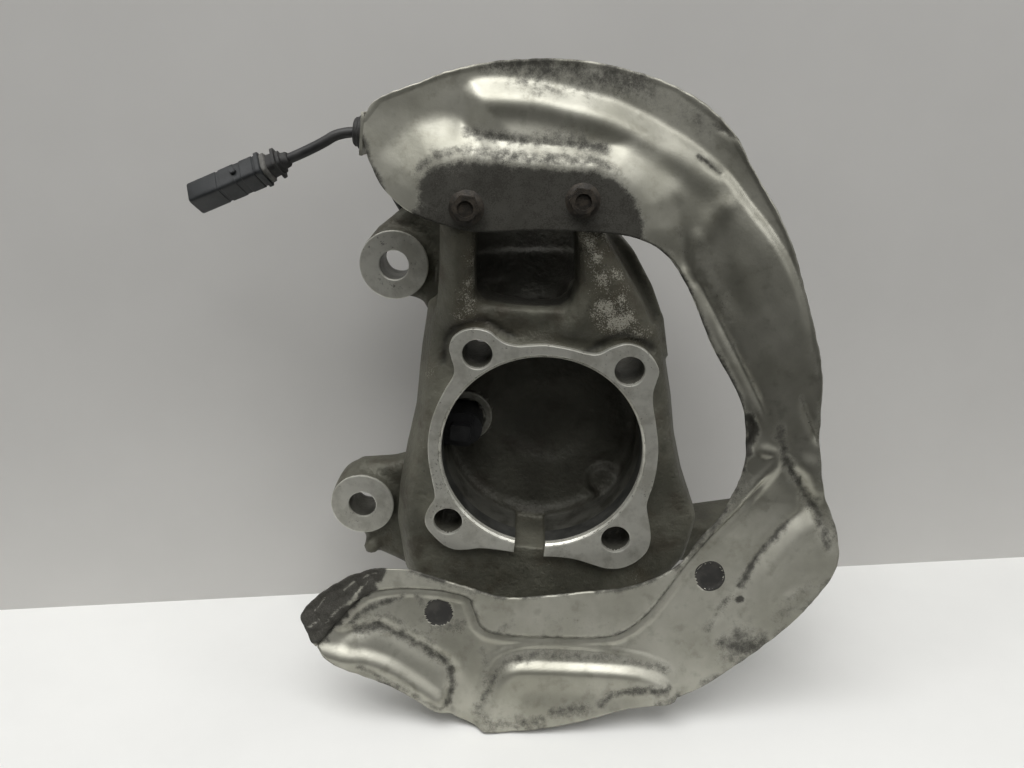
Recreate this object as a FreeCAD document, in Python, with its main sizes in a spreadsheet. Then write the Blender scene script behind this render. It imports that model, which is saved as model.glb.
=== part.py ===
import FreeCAD, Part
import math
import os
import Sketcher
from FreeCAD import Placement, Rotation, Vector

# Front wheel carrier (steering knuckle) with its pressed dust shield and wheel-speed sensor.
# Frame: origin at the centre of the bearing seat on the mounting face, -Y outboard,
# +Y inboard, +Z up along the symmetry line of the four hub bolts, +X to the right from outboard.
# All lengths are in millimetres and all angles in degrees.

SIZES = {
    # bearing seat and hub bolts
    "bore_radius": 46.5,
    "seat_depth": 14.0,
    "seat_relief": 0.6,
    "bore_depth": 38.0,
    "floor_pad_height": 1.6,
    "floor_bump_radius": 8.0,
    "floor_bump_height": 4.0,
    "seat_ring_width": 6.5,
    "seat_ring_height": 4.0,
    "hub_bolt_circle_radius": 56.0,
    "hub_hole_radius": 6.75,
    "upper_hole_offset": 34.0,
    "lower_hole_offset": 40.0,
    "lug_radius": 13.5,
    "lug_blend_radius": 6.0,
    "lug_depth": 38.0,
    "notch_width": 14.5,
    "notch_depth": 3.4,
    # casting
    "plate_thickness": 18.0,
    "barrel_wall": 9.5,
    "floor_thickness": 6.0,
    "rib_thickness": 9.0,
    # brake caliper ears
    "ear_face": 24.0,
    "ear_thickness": 23.0,
    "ear_radius": 16.0,
    "ear_hole_radius": 6.75,
    "ear_proud": 5.0,
    "ear_upper_x": -76.5,
    "ear_upper_z": 75.2,
    "ear_lower_x": -84.7,
    "ear_lower_z": -47.7,
    # strut clamp
    "strut_radius": 26.5,
    "clamp_wall": 8.0,
    "clamp_length": 92.0,
    "clamp_foot_x": -14.0,
    "clamp_foot_y": 34.0,
    "clamp_foot_z": 60.0,
    "clamp_lean_side": -7.5,
    "clamp_lean_in": 5.0,
    "clamp_floor": 8.0,
    "clamp_slot": 5.0,
    "pinch_hole_radius": 6.25,
    "pinch_lug_radius": 14.0,
    "pinch_height": 62.0,
    "drain_radius": 17.0,
    # legs that carry the shield
    "leg_root_y": 2.0,
    "leg_pad_y": -8.5,
    "leg_pad_radius": 9.0,
    "shield_bolt_left_x": -44.0,
    "shield_bolt_left_z": 109.0,
    "shield_bolt_right_x": 2.5,
    "shield_bolt_right_z": 117.0,
    # ball joint boss and steering arm
    "ball_boss_radius": 21.0,
    "ball_bore_radius": 9.0,
    "ball_boss_top": -76.0,
    "ball_boss_bottom": -108.0,
    "arm_top": -40.0,
    "arm_height": 22.0,
    "arm_end_x": 119.0,
    "arm_end_y": 50.0,
    "arm_end_radius": 16.5,
    "arm_bore_radius": 7.0,
    # dust shield
    "sheet_thickness": 1.2,
    "sheet_seat_gap": 0.15,
    "shield_hole_clearance": 0.4,
    "plug_left_x": -39.6,
    "plug_left_z": -80.0,
    "plug_right_x": 85.0,
    "plug_right_z": -48.5,
    "plug_hole_radius": 6.6,
    # shield bolts
    "bolt_radius": 3.0,
    "bolt_length": 16.0,
    "bolt_head_flats": 10.0,
    "bolt_head_height": 6.0,
    "bolt_flange_radius": 7.4,
    "bolt_flange_height": 1.5,
    "thread_clearance": 0.1,
    # rubber plugs
    "plug_head_radius": 8.1,
    "plug_head_height": 1.4,
    "plug_clearance": 0.15,
    # wheel-speed sensor
    "sensor_x": -37.5,
    "sensor_z": 0.0,
    "sensor_hole_radius": 9.0,
    "sensor_clearance": 0.25,
    "sensor_boss_radius": 13.0,
    "sensor_boss_proud": 2.5,
    "sensor_boss_back": 54.0,
    "sensor_head_width": 16.0,
    "sensor_head_height": 17.0,
    "sensor_head_front": 20.0,
    "sensor_nose_front": 15.0,
    "sensor_recess_front": 12.0,
    "sensor_flange": 5.0,
    "sensor_bolt_offset": 20.0,
    "seal_cord_radius": 1.1,
    # lead and connector
    "lead_radius": 2.2,
    "tab_x": -88.5,
    "tab_height": 17.0,
    "tab_depth": 18.0,
    "grommet_y": 8.0,
    "grommet_z": 132.6,
    "grommet_radius": 6.8,
    "grommet_neck_radius": 4.6,
    "connector_x": -121.0,
    "connector_z": 118.6,
    "connector_tilt": -28.0,
    "connector_width": 11.4,
    "connector_length": 36.0,
    "boot_length": 9.0,
}

doc = FreeCAD.newDocument("wheel_carrier")
sheet = doc.addObject("Spreadsheet::Sheet", "Sizes")
for row, (alias, number) in enumerate(SIZES.items(), start=1):
    sheet.set(f"A{row}", alias)
    sheet.set(f"B{row}", str(number))
    sheet.setAlias(f"B{row}", alias)
doc.recompute()


class Size:
    """A number together with the sheet expression that it comes from."""

    def __init__(self, value, text):
        self.value = float(value)
        self.text = text

    def __add__(self, other):
        other = as_size(other)
        return Size(self.value + other.value, f"({self.text} + {other.text})")

    def __sub__(self, other):
        other = as_size(other)
        return Size(self.value - other.value, f"({self.text} - {other.text})")

    def __mul__(self, other):
        other = as_size(other)
        return Size(self.value * other.value, f"({self.text} * {other.text})")

    def __truediv__(self, other):
        other = as_size(other)
        return Size(self.value / other.value, f"({self.text} / {other.text})")

    def __neg__(self):
        return Size(-self.value, f"(0 - {self.text})")

    def __radd__(self, other):
        return as_size(other) + self

    def __rsub__(self, other):
        return as_size(other) - self

    def __rmul__(self, other):
        return as_size(other) * self

    def __float__(self):
        return self.value


def as_size(item):
    return item if isinstance(item, Size) else Size(item, repr(float(item)))


def root(item):
    """Square root of a size."""
    return Size(math.sqrt(item.value), f"sqrt({item.text})")


def s(alias):
    """The named size from the sheet."""
    return Size(sheet.get(alias), f"Sizes.{alias}")


def bind(item, prop, size):
    """Ties one property of a feature to the sheet."""
    item.setExpression(prop, as_size(size).text)


# Helpers for bodies and sketches

def new_body(label):
    body = doc.addObject("PartDesign::Body", label + "_body")
    body.Label = label
    return body


def new_sketch(body, name, role, height=None):
    """A sketch on one of the body's own planes, raised along that plane's normal."""
    sketch = body.newObject("Sketcher::SketchObject", name)
    plane = [item for item in body.Origin.OriginFeatures if item.Role == role][0]
    sketch.AttachmentSupport = [(plane, "")]
    sketch.MapMode = "FlatFace"
    if height is not None:
        bind(sketch, "AttachmentOffset.Base.z", height)
    return sketch


def circle(sketch, name, x, y, radius):
    """A circle whose centre and radius follow the sheet."""
    x, y, radius = as_size(x), as_size(y), as_size(radius)
    curve = Part.Circle(Vector(x.value, y.value, 0), Vector(0, 0, 1), radius.value)
    index = sketch.addGeometry(curve, False)
    for kind, ends, size in (
        ("Radius", (index,), radius),
        ("DistanceX", (-1, 1, index, 3), x),
        ("DistanceY", (-1, 1, index, 3), y),
    ):
        number = sketch.addConstraint(Sketcher.Constraint(kind, *ends, size.value))
        sketch.renameConstraint(number, f"{name}_{kind}")
        bind(sketch, f"Constraints.{name}_{kind}", size)
    return index


def fixed(sketch, curves):
    """Adds worked-out curves to a sketch and blocks them in place."""
    for curve in curves:
        index = sketch.addGeometry(curve, False)
        sketch.addConstraint(Sketcher.Constraint("Block", index))


def rounded_outline(corners):
    """Lines and tangent arcs through corners given as (x, y, corner radius)."""
    points = [Vector(float(x), float(y), 0) for x, y, radius in corners]
    radii = [float(radius) for x, y, radius in corners]
    starts, ends, arcs = [], [], []
    for i, corner in enumerate(points):
        back = (points[i - 1] - corner).normalize()
        ahead = (points[(i + 1) % len(points)] - corner).normalize()
        half = back.getAngle(ahead) / 2
        reach = radii[i] / math.tan(half)
        middle = (back + ahead).normalize() * (radii[i] / math.sin(half) - radii[i])
        starts.append(corner + back * reach)
        ends.append(corner + ahead * reach)
        if radii[i] > 0:
            arcs.append(Part.Arc(starts[i], corner + middle, ends[i]))
        else:
            arcs.append(None)
    curves = []
    for i, arc in enumerate(arcs):
        if arc:
            curves.append(arc)
        curves.append(Part.LineSegment(ends[i], starts[(i + 1) % len(points)]))
    return curves


def pad(body, sketch, name, length, reverse=False):
    feature = body.newObject("PartDesign::Pad", name)
    feature.Profile = sketch
    bind(feature, "Length", length)
    feature.Reversed = reverse
    sketch.Visibility = False
    return feature


def pocket(body, sketch, name, length, reverse=False, both=False):
    feature = body.newObject("PartDesign::Pocket", name)
    feature.Profile = sketch
    bind(feature, "Length", length)
    feature.Reversed = reverse
    feature.Midplane = both
    return feature


def front_pad(body, name, curves, front, back):
    """A profile seen from outboard, padded inboard between two depths."""
    front, back = as_size(front), as_size(back)
    sketch = new_sketch(body, name + "_profile", "XZ_Plane", -front)
    fixed(sketch, curves)
    return pad(body, sketch, name, back - front, reverse=True)


def front_boss(body, name, x, z, radius, front, back):
    """A round boss along Y between two depths."""
    front, back = as_size(front), as_size(back)
    sketch = new_sketch(body, name + "_profile", "XZ_Plane", -front)
    circle(sketch, "ring", x, z, radius)
    return pad(body, sketch, name, back - front, reverse=True)


def front_hole(body, name, holes, front, back):
    """Round holes along Y, cut inboard between two depths."""
    front, back = as_size(front), as_size(back)
    sketch = new_sketch(body, name + "_profile", "XZ_Plane", -front)
    for number, (x, z, radius) in enumerate(holes):
        circle(sketch, f"hole{number}", x, z, radius)
    return pocket(body, sketch, name, back - front)


# Knuckle: one aluminium casting with machined seats

HUB_HOLES = []
for side, offset, up in (("upper", s("upper_hole_offset"), 1), ("lower", s("lower_hole_offset"), -1)):
    height = root(s("hub_bolt_circle_radius") * s("hub_bolt_circle_radius") - offset * offset) * up
    HUB_HOLES += [(-offset, height), (offset, height)]


def seat_ring_curves():
    """Outer edge of the seat: a ring with four lugs, joined by hollow blends."""
    ring = float(s("bore_radius") + s("seat_ring_width"))
    lug = float(s("lug_radius"))
    blend = float(s("lug_blend_radius"))
    reach = float(s("hub_bolt_circle_radius"))
    outer = ring + blend
    swing = math.acos((outer ** 2 + reach ** 2 - (lug + blend) ** 2) / (2 * outer * reach))
    centres = sorted((math.atan2(float(z), float(x)) for x, z in HUB_HOLES))
    curves = []

    def at(radius, angle):
        return Vector(radius * math.cos(angle), radius * math.sin(angle), 0)

    for i, angle in enumerate(centres):
        hub = at(reach, angle)
        parts = []
        for way in (-1, 1):
            hollow = at(ring + blend, angle + way * swing)
            on_ring = at(ring, angle + way * swing)
            on_lug = hub + (hollow - hub).normalize() * lug
            middle = hollow - (((hollow - on_ring) + (hollow - on_lug)).normalize() * blend)
            parts.append((on_ring, middle, on_lug))
        curves.append(Part.Arc(*parts[0]))
        curves.append(Part.Arc(parts[0][2], at(reach + lug, angle), parts[1][2]))
        curves.append(Part.Arc(parts[1][2], parts[1][1], parts[1][0]))
        following = centres[(i + 1) % 4] + (2 * math.pi if i == 3 else 0)
        middle_angle = (angle + following) / 2
        curves.append(Part.Arc(at(ring, angle + swing), at(ring, middle_angle), at(ring, following - swing)))
    return curves


def clamp_placement(along):
    """Placement on the strut axis, the given distance up from its foot."""
    side = math.tan(math.radians(float(s("clamp_lean_side"))))
    inward = math.tan(math.radians(float(s("clamp_lean_in"))))
    axis = Vector(side, inward, 1).normalize()
    foot = Vector(float(s("clamp_foot_x")), float(s("clamp_foot_y")), float(s("clamp_foot_z")))
    return Placement(foot + axis * float(along), Rotation(Vector(0, 0, 1), axis))


def cylinder(body, kind, name, radius, height, placement):
    """An additive or subtractive cylinder at a placement."""
    feature = body.newObject(f"PartDesign::{kind}Cylinder", name)
    bind(feature, "Radius", radius)
    bind(feature, "Height", height)
    feature.Placement = placement
    return feature


def make_knuckle():
    body = new_body("knuckle")
    front = s("seat_ring_height")
    plate_back = front + s("plate_thickness")
    floor_back = s("bore_depth") + s("floor_thickness")
    wide = s("bore_radius")

    # plate behind the seat, seen from outboard
    front_pad(body, "plate", rounded_outline([
        (-wide - 12.5, 62, 8), (-wide - 14, 12, 60), (-wide - 18, -14, 16), (-wide - 20, -50, 12),
        (-wide - 13, -78, 14), (-30, -91, 25), (16, -93, 25), (wide + 6, -76, 25), (wide + 27, -52, 8),
        (wide + 31, -24, 12), (wide + 20, 0, 60), (wide + 10, 32, 80), (wide - 1, 68, 10), (-50, 68, 6),
    ]), front, plate_back)

    # barrel round the bearing seat, with a boss behind each hub bolt
    front_boss(body, "barrel", 0, 0, s("bore_radius") + s("barrel_wall"), front, floor_back)
    for number, (x, z) in enumerate(HUB_HOLES):
        front_boss(body, f"bolt_boss{number}", x, z, s("lug_radius"), front, s("lug_depth"))

    # web and boss of each caliper ear
    web_front = s("ear_face") + s("ear_proud")
    web_back = s("ear_face") + s("ear_thickness") - 2
    ux, uz = float(s("ear_upper_x")), float(s("ear_upper_z"))
    lx, lz = float(s("ear_lower_x")), float(s("ear_lower_z"))
    front_pad(body, "upper_ear_web", rounded_outline([
        (ux - 15.5, uz - 6, 9), (ux - 12, uz + 13, 12), (ux + 22, uz + 46, 10), (-20, 122, 4), (-20, 30, 4),
        (-wide - 6, 30, 4), (-wide - 12.5, 52, 10), (ux + 5, uz - 14.5, 6),
    ]), web_front, web_back)
    front_pad(body, "lower_ear_web", rounded_outline([
        (lx - 15, lz + 2, 9), (lx - 4, lz + 18.5, 12), (-wide - 18, lz + 22, 12), (-wide - 10, 8, 6),
        (-20, 8, 4), (-20, -89, 6), (-wide - 7.5, -87, 8), (lx + 19, lz - 33.5, 4), (lx + 11, lz - 30, 4),
        (lx + 5, lz - 27.5, 3), (lx + 1.5, lz - 22, 3), (lx - 3, lz - 16.5, 5),
    ]), web_front, web_back)
    for name, x, z in (("upper_ear", s("ear_upper_x"), s("ear_upper_z")),
                       ("lower_ear", s("ear_lower_x"), s("ear_lower_z"))):
        front_boss(body, name, x, z, s("ear_radius"), s("ear_face"), s("ear_face") + s("ear_thickness"))

    # strut clamp: a leaning socket with a pinch lug at its back
    outer = s("strut_radius") + s("clamp_wall")
    cylinder(body, "Additive", "clamp", outer, s("clamp_length"), clamp_placement(0))

    # legs from the seat up to the two shield bolts
    root_y, pad_y = s("leg_root_y"), s("leg_pad_y")
    bolt_left = (s("shield_bolt_left_x"), s("shield_bolt_left_z"))
    bolt_right = (s("shield_bolt_right_x"), s("shield_bolt_right_z"))
    top = float(s("leg_pad_radius"))
    blx, blz = float(bolt_left[0]), float(bolt_left[1])
    brx, brz = float(bolt_right[0]), float(bolt_right[1])
    front_pad(body, "left_leg", rounded_outline([
        (blx - top, blz + top, top * 0.95), (-52, 54, 6), (-30, 54, 6), (-37, 72, 10),
        (blx + top, blz + top, top * 0.9),
    ]), pad_y, 26)
    front_pad(body, "right_leg", rounded_outline([
        (brx - top, brz + top, top * 0.95), (brx + 3, 80, 12), (-4, 54, 4), (47, 54, 6), (44, 68, 8),
        (brx + top + 6, brz - 16, 20), (brx + top, brz + top, top * 0.95),
    ]), pad_y, 24)
    slope = new_sketch(body, "leg_slope_profile", "YZ_Plane")
    fixed(slope, rounded_outline([
        (float(pad_y) - 2, blz - top + 2, 0), (float(pad_y), blz - top - 2, 0), (float(root_y), 56, 0),
        (float(root_y), 48, 0), (float(pad_y) - 2, 48, 0),
    ]))
    pocket(body, slope, "leg_slope", 240, both=True)

    # rear reinforcement of the steering arm and the arm itself, seen from above
    arm = new_sketch(body, "arm_profile", "XY_Plane", s("arm_top") - s("arm_height"))
    ax, ay, ar = float(s("arm_end_x")), float(s("arm_end_y")), float(s("arm_end_radius"))
    fixed(arm, rounded_outline([
        (ax - 6, ay + ar, 10), (ax + ar, ay + 6, 12), (ax + 4, ay - ar, 12), (80, 24, 12), (58, 16, 4),
        (20, 20, 2), (20, 43, 2), (62, 43, 16), (84, 52, 16),
    ]))
    pad(body, arm, "steering_arm", s("arm_height"))

    # lower ball joint boss
    boss = new_sketch(body, "ball_boss_profile", "XY_Plane", s("ball_boss_bottom"))
    circle(boss, "boss", 0, 30, s("ball_boss_radius"))
    pad(body, boss, "ball_boss", s("ball_boss_top") - s("ball_boss_bottom"))

    # ribs behind the plate
    for number, (turn, reach) in enumerate(((-18, 74), (-60, 84), (-118, 84), (32, 60))):
        rib = new_sketch(body, f"rib{number}_profile", "XZ_Plane", -plate_back)
        half = float(s("rib_thickness")) / 2
        way = Vector(math.cos(math.radians(turn)), math.sin(math.radians(turn)), 0)
        side = Vector(-way.y, way.x, 0) * half
        inner, tip = way * float(wide + 2), way * reach
        fixed(rib, rounded_outline([
            ((inner - side).x, (inner - side).y, 0), ((tip - side).x, (tip - side).y, 2),
            ((tip + side).x, (tip + side).y, 2), ((inner + side).x, (inner + side).y, 0),
        ]))
        pad(body, rib, f"rib{number}", 14, reverse=True)

    # machined seat ring with its lugs
    ring = new_sketch(body, "seat_ring_profile", "XZ_Plane", 0)
    fixed(ring, seat_ring_curves())
    pad(body, ring, "seat_ring", front + 1, reverse=True)

    # bearing seat, hub bolt holes and ear holes
    front_hole(body, "bearing_seat", [(0, 0, s("bore_radius"))], 0, s("seat_depth"))
    front_hole(body, "cup", [(0, 0, s("bore_radius") + s("seat_relief"))], s("seat_depth"), s("bore_depth"))
    front_hole(body, "hub_bolt_holes", [(x, z, s("hub_hole_radius")) for x, z in HUB_HOLES], 0, 60)
    front_hole(body, "ear_holes", [
        (s("ear_upper_x"), s("ear_upper_z"), s("ear_hole_radius")),
        (s("ear_lower_x"), s("ear_lower_z"), s("ear_hole_radius")),
    ], 0, 80)

    # raised pads on the seat's floor and the recess that the sensor head stands in
    depth = s("bore_depth")
    front_pad(body, "floor_pad", rounded_outline([
        (-19, 44, 1), (-21, 12, 8), (-27, -28, 8), (-29, -38, 1), (-50, -20, 1), (-50, 20, 1),
    ]), depth - s("floor_pad_height"), depth + 1)
    front_boss(body, "floor_bump", 35, -25.5, s("floor_bump_radius"), depth - s("floor_bump_height"), depth + 1)
    recess = new_sketch(body, "sensor_recess_profile", "XZ_Plane", -s("sensor_recess_front"))
    tall = float(s("sensor_head_height")) / 2 + 1
    fixed(recess, rounded_outline([(-50.5, -tall, 3), (-34, -tall, 3), (-34, tall, 3), (-50.5, tall, 3)]))
    pocket(body, recess, "sensor_recess", depth - s("sensor_boss_proud") - s("sensor_recess_front"))

    # drain notch through the bottom of the ring
    notch = new_sketch(body, "notch_profile", "XZ_Plane", 0)
    half = float(s("notch_width")) / 2
    inside = float(s("bore_radius"))
    fixed(notch, rounded_outline([
        (-half, 6 - inside, 0), (half, 6 - inside, 0), (half, -inside - 12, 0), (-half, -inside - 12, 0),
    ]))
    pocket(body, notch, "drain_notch", s("notch_depth"))

    # strut socket, its window between the legs and its drain
    floor = s("clamp_floor")
    cylinder(body, "Subtractive", "strut_socket", s("strut_radius"), s("clamp_length"),
             clamp_placement(floor))
    window = new_sketch(body, "window_profile", "XZ_Plane", 12)
    fixed(window, rounded_outline([(-38, 66.5, 10), (6, 68.5, 12), (1, 104, 8), (-40, 104, 8)]))
    pocket(body, window, "window", 12 + float(s("clamp_foot_y")))
    drain = Placement(Vector(-13, 30, 66), Rotation(Vector(0, 0, 1), Vector(0, 0.8, -0.45)))
    cylinder(body, "Subtractive", "socket_drain", s("drain_radius"), 60, drain)

    # pinch lug, its slot and its cross hole
    lug = new_sketch(body, "pinch_lug_profile", "YZ_Plane", s("clamp_foot_x") - 9 - 17)
    py, pz = float(s("clamp_foot_y") + outer + 10), float(s("clamp_foot_z") + s("pinch_height"))
    pr = float(s("pinch_lug_radius"))
    fixed(lug, rounded_outline([
        (py + pr, pz + pr, pr * 0.95), (py + pr, pz - pr, pr * 0.95),
        (py - 20, pz - pr - 12, 4), (py - 20, pz + pr + 6, 4),
    ]))
    pad(body, lug, "pinch_lug", 34)
    slot = new_sketch(body, "clamp_slot_profile", "XZ_Plane", -(s("clamp_foot_y") + s("strut_radius") - 2))
    middle, half = float(s("clamp_foot_x")) - 9, float(s("clamp_slot")) / 2
    fixed(slot, rounded_outline([
        (middle - half - 4, 160, 0), (middle + half - 4, 160, 0),
        (middle + half + 4, 102, 2), (middle - half + 4, 102, 2),
    ]))
    pocket(body, slot, "clamp_slot_cut", 60)
    cross = new_sketch(body, "pinch_hole_profile", "YZ_Plane", s("clamp_foot_x") - 60)
    circle(cross, "hole", s("clamp_foot_y") + outer + 10, s("clamp_foot_z") + s("pinch_height"),
           s("pinch_hole_radius"))
    pocket(body, cross, "pinch_hole", 120, reverse=True)
    cylinder(body, "Subtractive", "strut_socket_clean", s("strut_radius"), s("clamp_length"),
             clamp_placement(floor))

    # sensor boss with its hole, inside and outside the floor of the seat
    x, z = s("sensor_x"), s("sensor_z")
    front_boss(body, "sensor_boss", x, z, s("sensor_boss_radius"), s("bore_depth") - s("sensor_boss_proud"),
               s("sensor_boss_back"))
    lower = s("sensor_bolt_offset")
    front_boss(body, "sensor_bolt_boss", x, z - lower, 8, s("bore_depth") + 1, s("sensor_boss_back"))
    front_hole(body, "sensor_hole", [(x, z, s("sensor_hole_radius"))], 30, 70)
    front_hole(body, "sensor_bolt_hole", [(x, z - lower, s("bolt_radius") + s("thread_clearance"))],
               s("bore_depth") + 2.5, 70)

    # taper bores for the ball joint and the track rod, and threads for the shield bolts
    under = new_sketch(body, "ball_bore_profile", "XY_Plane", s("ball_boss_bottom"))
    circle(under, "bore", 0, 30, s("ball_bore_radius"))
    pocket(body, under, "ball_bore", 26, reverse=True)
    end = new_sketch(body, "arm_bore_profile", "XY_Plane", s("arm_top"))
    circle(end, "bore", s("arm_end_x"), s("arm_end_y"), s("arm_bore_radius"))
    pocket(body, end, "arm_bore", s("arm_height"))
    threads = [(x, z, s("bolt_radius") + s("thread_clearance")) for x, z in (bolt_left, bolt_right)]
    front_hole(body, "shield_bolt_threads", threads, pad_y, pad_y + 18)
    return body


knuckle = make_knuckle()
doc.recompute()


# Dust shield: one pressed sheet, whose face is a smooth height field over X and Z

OUTER_EDGE = [
    (-88.6, 138.8), (-83, 147), (-67, 155), (-55, 160.8), (-36, 166.5), (-12, 169.6), (10, 169), (34.5, 164.2),
    (56, 153), (71, 136), (90, 112), (104.6, 84), (116.7, 56), (121.3, 34), (125.6, 14), (131, -2), (140, -19),
    (143.5, -37), (135, -56), (122, -73), (104, -91), (82, -108), (52, -116.5), (24, -127), (-8, -134.5),
    (-30, -130), (-55, -118.5), (-84, -109.5), (-96, -100.5), (-103.5, -88.5), (-98.5, -78.5), (-85, -67),
    (-71, -60.5),
]
INNER_EDGE = [
    (-54, -59.4), (-28.6, -64.3), (-7, -67.7), (25, -61.5), (44, -57.5), (57, -52), (69.5, -43), (77, -30),
    (86, -16), (91, 3.6), (90, 20), (83, 39), (66, 62), (53, 83.5), (41, 97.5), (28, 104), (11.5, 105),
    (-17, 102.7), (-38, 99.6), (-61, 102.8), (-76, 110.5), (-84.5, 121), (-88.4, 131),
]

FIELD_STEP = [
    (-47, 110), (-48.4, 149), (-47.5, 154), (-44, 156.5), (-22.9, 158), (-7.7, 156.6), (7.6, 154.6), (20.8, 151),
    (34.4, 145.6), (48.2, 139.3), (59.9, 131.8), (71.2, 121), (84.1, 109), (96.3, 93.6), (105.1, 76), (111, 52),
    (115.5, 30), (118, 8),
]
BOLT_PAD = [
    (-66, 100), (-66, 114), (-64.9, 118), (-59, 125), (-49, 128.5), (-29.8, 129), (-11.8, 129.2), (6, 130.5),
    (14, 128), (21, 123.5), (27, 117), (30, 108), (30, 90), (-60, 90),
]
LOW_CREASE = [
    (88, -12), (79.2, -35.3), (71.3, -49.9), (59.2, -70.4), (53.4, -77.2), (40.5, -82.1), (10.5, -84.6),
    (-16.2, -86.6), (-23.7, -79.5), (-29.7, -69.7), (-36.5, -68.4), (-53.1, -68.8), (-64.7, -70.4), (-72.6, -74.4),
    (-81.9, -83.3), (-88, -91),
]
LOW_LIP = [
    (-13, -134), (-9.3, -119), (-6.9, -109.7), (-0.9, -102.7), (12.4, -100.9), (29.3, -100.3), (46.2, -99.3),
    (63.1, -98.4), (73.7, -101.7), (79, -107),
]
ROLLED_EDGE = [
    (-94, -101.5), (-83.5, -105.6), (-71.6, -107), (-59.4, -111), (-48.8, -115.2), (-38.2, -119.5), (-29.3, -123.9),
    (-20, -131),
]


def ease(value, low, high):
    """Smooth rise from 0 at low to 1 at high."""
    share = min(1.0, max(0.0, (value - low) / (high - low)))
    return share * share * (3 - 2 * share)


def line_gap(x, z, line):
    """Distance to a line through points, and the side of it: 1 to the left of its way, -1 to the right."""
    best, side = 1000.0, 1.0
    for (ax, az), (bx, bz) in zip(line[:-1], line[1:]):
        dx, dz = bx - ax, bz - az
        share = min(1.0, max(0.0, ((x - ax) * dx + (z - az) * dz) / (dx * dx + dz * dz)))
        gap = math.hypot(x - ax - share * dx, z - az - share * dz)
        if gap < best:
            best, side = gap, 1.0 if dx * (z - az) - dz * (x - ax) > 0 else -1.0
    return best, side


def outline_gap(x, z, corners):
    """Distance to a closed outline, negative inside it."""
    closed = corners + corners[:1]
    inside = False
    for (ax, az), (bx, bz) in zip(closed[:-1], closed[1:]):
        if (az > z) != (bz > z) and x < (bx - ax) * (z - az) / (bz - az) + ax:
            inside = not inside
    gap = line_gap(x, z, closed)[0]
    return -gap if inside else gap


def shield_face(x, z):
    """Y of the outboard face: rim, raised field, bolt pad, leaning lower lobes and their pressed steps."""
    inward = line_gap(x, z, OUTER_EDGE)[0]
    height = -4.0
    gap, side = line_gap(x, z, FIELD_STEP)
    top = ease(x, -58, -46) * ease(z, -24, 24) * max(ease(z, 126, 140), ease(x, 0, 30))
    height += top * 6.5 * ease(gap * side, -6.5, 5.5)
    height += 2.4 * ease(-x, 44, 62) * ease(z, 130, 152)
    height -= 2.2 * (1 - ease(inward, 0, 5)) * ease(z, -30, 10)
    pad_gap = outline_gap(x, z, BOLT_PAD)
    pad_rise = float(s("leg_pad_y") - s("sheet_thickness") - s("sheet_seat_gap")) + 4.0
    height += pad_rise * (1 - ease(pad_gap, 5.5, 14.5 + 3 * ease(-x, 40, 60)))
    height -= 0.17 * max(0.0, -z - 10)
    gap, side = line_gap(x, z, LOW_CREASE)
    recess = max(ease(gap * side, -1.5, 2.5), ease(-x, 0, 16), ease(x, 44, 60))
    height += 3.2 * recess * ease(-z, -6, 14)
    gap, side = line_gap(x, z, LOW_LIP)
    reach = ease(-z, 84, 94) * ease(x, -26, -12) * (1 - ease(x, 72, 86))
    height -= reach * 5.6 * ease(-gap * side, -4.5, 4.0)
    gap, side = line_gap(x, z, ROLLED_EDGE)
    height -= 5.0 * ease(-gap * side, -5.5, 4.5) * ease(-z, 88, 98) * (1 - ease(x, -32, -22))
    return height


def smooth_loop(points):
    """Closed smooth curve through points in the XZ plane, as one edge for every two spans."""
    curve = Part.BSplineCurve()
    curve.interpolate([Vector(x, 0, z) for x, z in points], PeriodicFlag=True)
    stops = curve.getKnots()[::2]
    if len(points) % 2:
        stops.append(curve.LastParameter)
    return Part.Wire([curve.toShape(a, b) for a, b in zip(stops, stops[1:])])


def along_y(x, z, radius, low=-80, high=80):
    """A round bar along Y, for cutting holes."""
    return Part.makeCylinder(radius, high - low, Vector(x, low, z), Vector(0, 1, 0))


def plug_placement(x, z):
    """Placement on the shield's face at a plug hole, with its own Z along the face's outward normal."""
    step = 6.0
    slope_x = (shield_face(x + step, z) - shield_face(x - step, z)) / (2 * step)
    slope_z = (shield_face(x, z + step) - shield_face(x, z - step)) / (2 * step)
    normal = Vector(slope_x, -1, slope_z).normalize()
    return Placement(Vector(x, shield_face(x, z), z), Rotation(Vector(0, 0, 1), normal))


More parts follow.
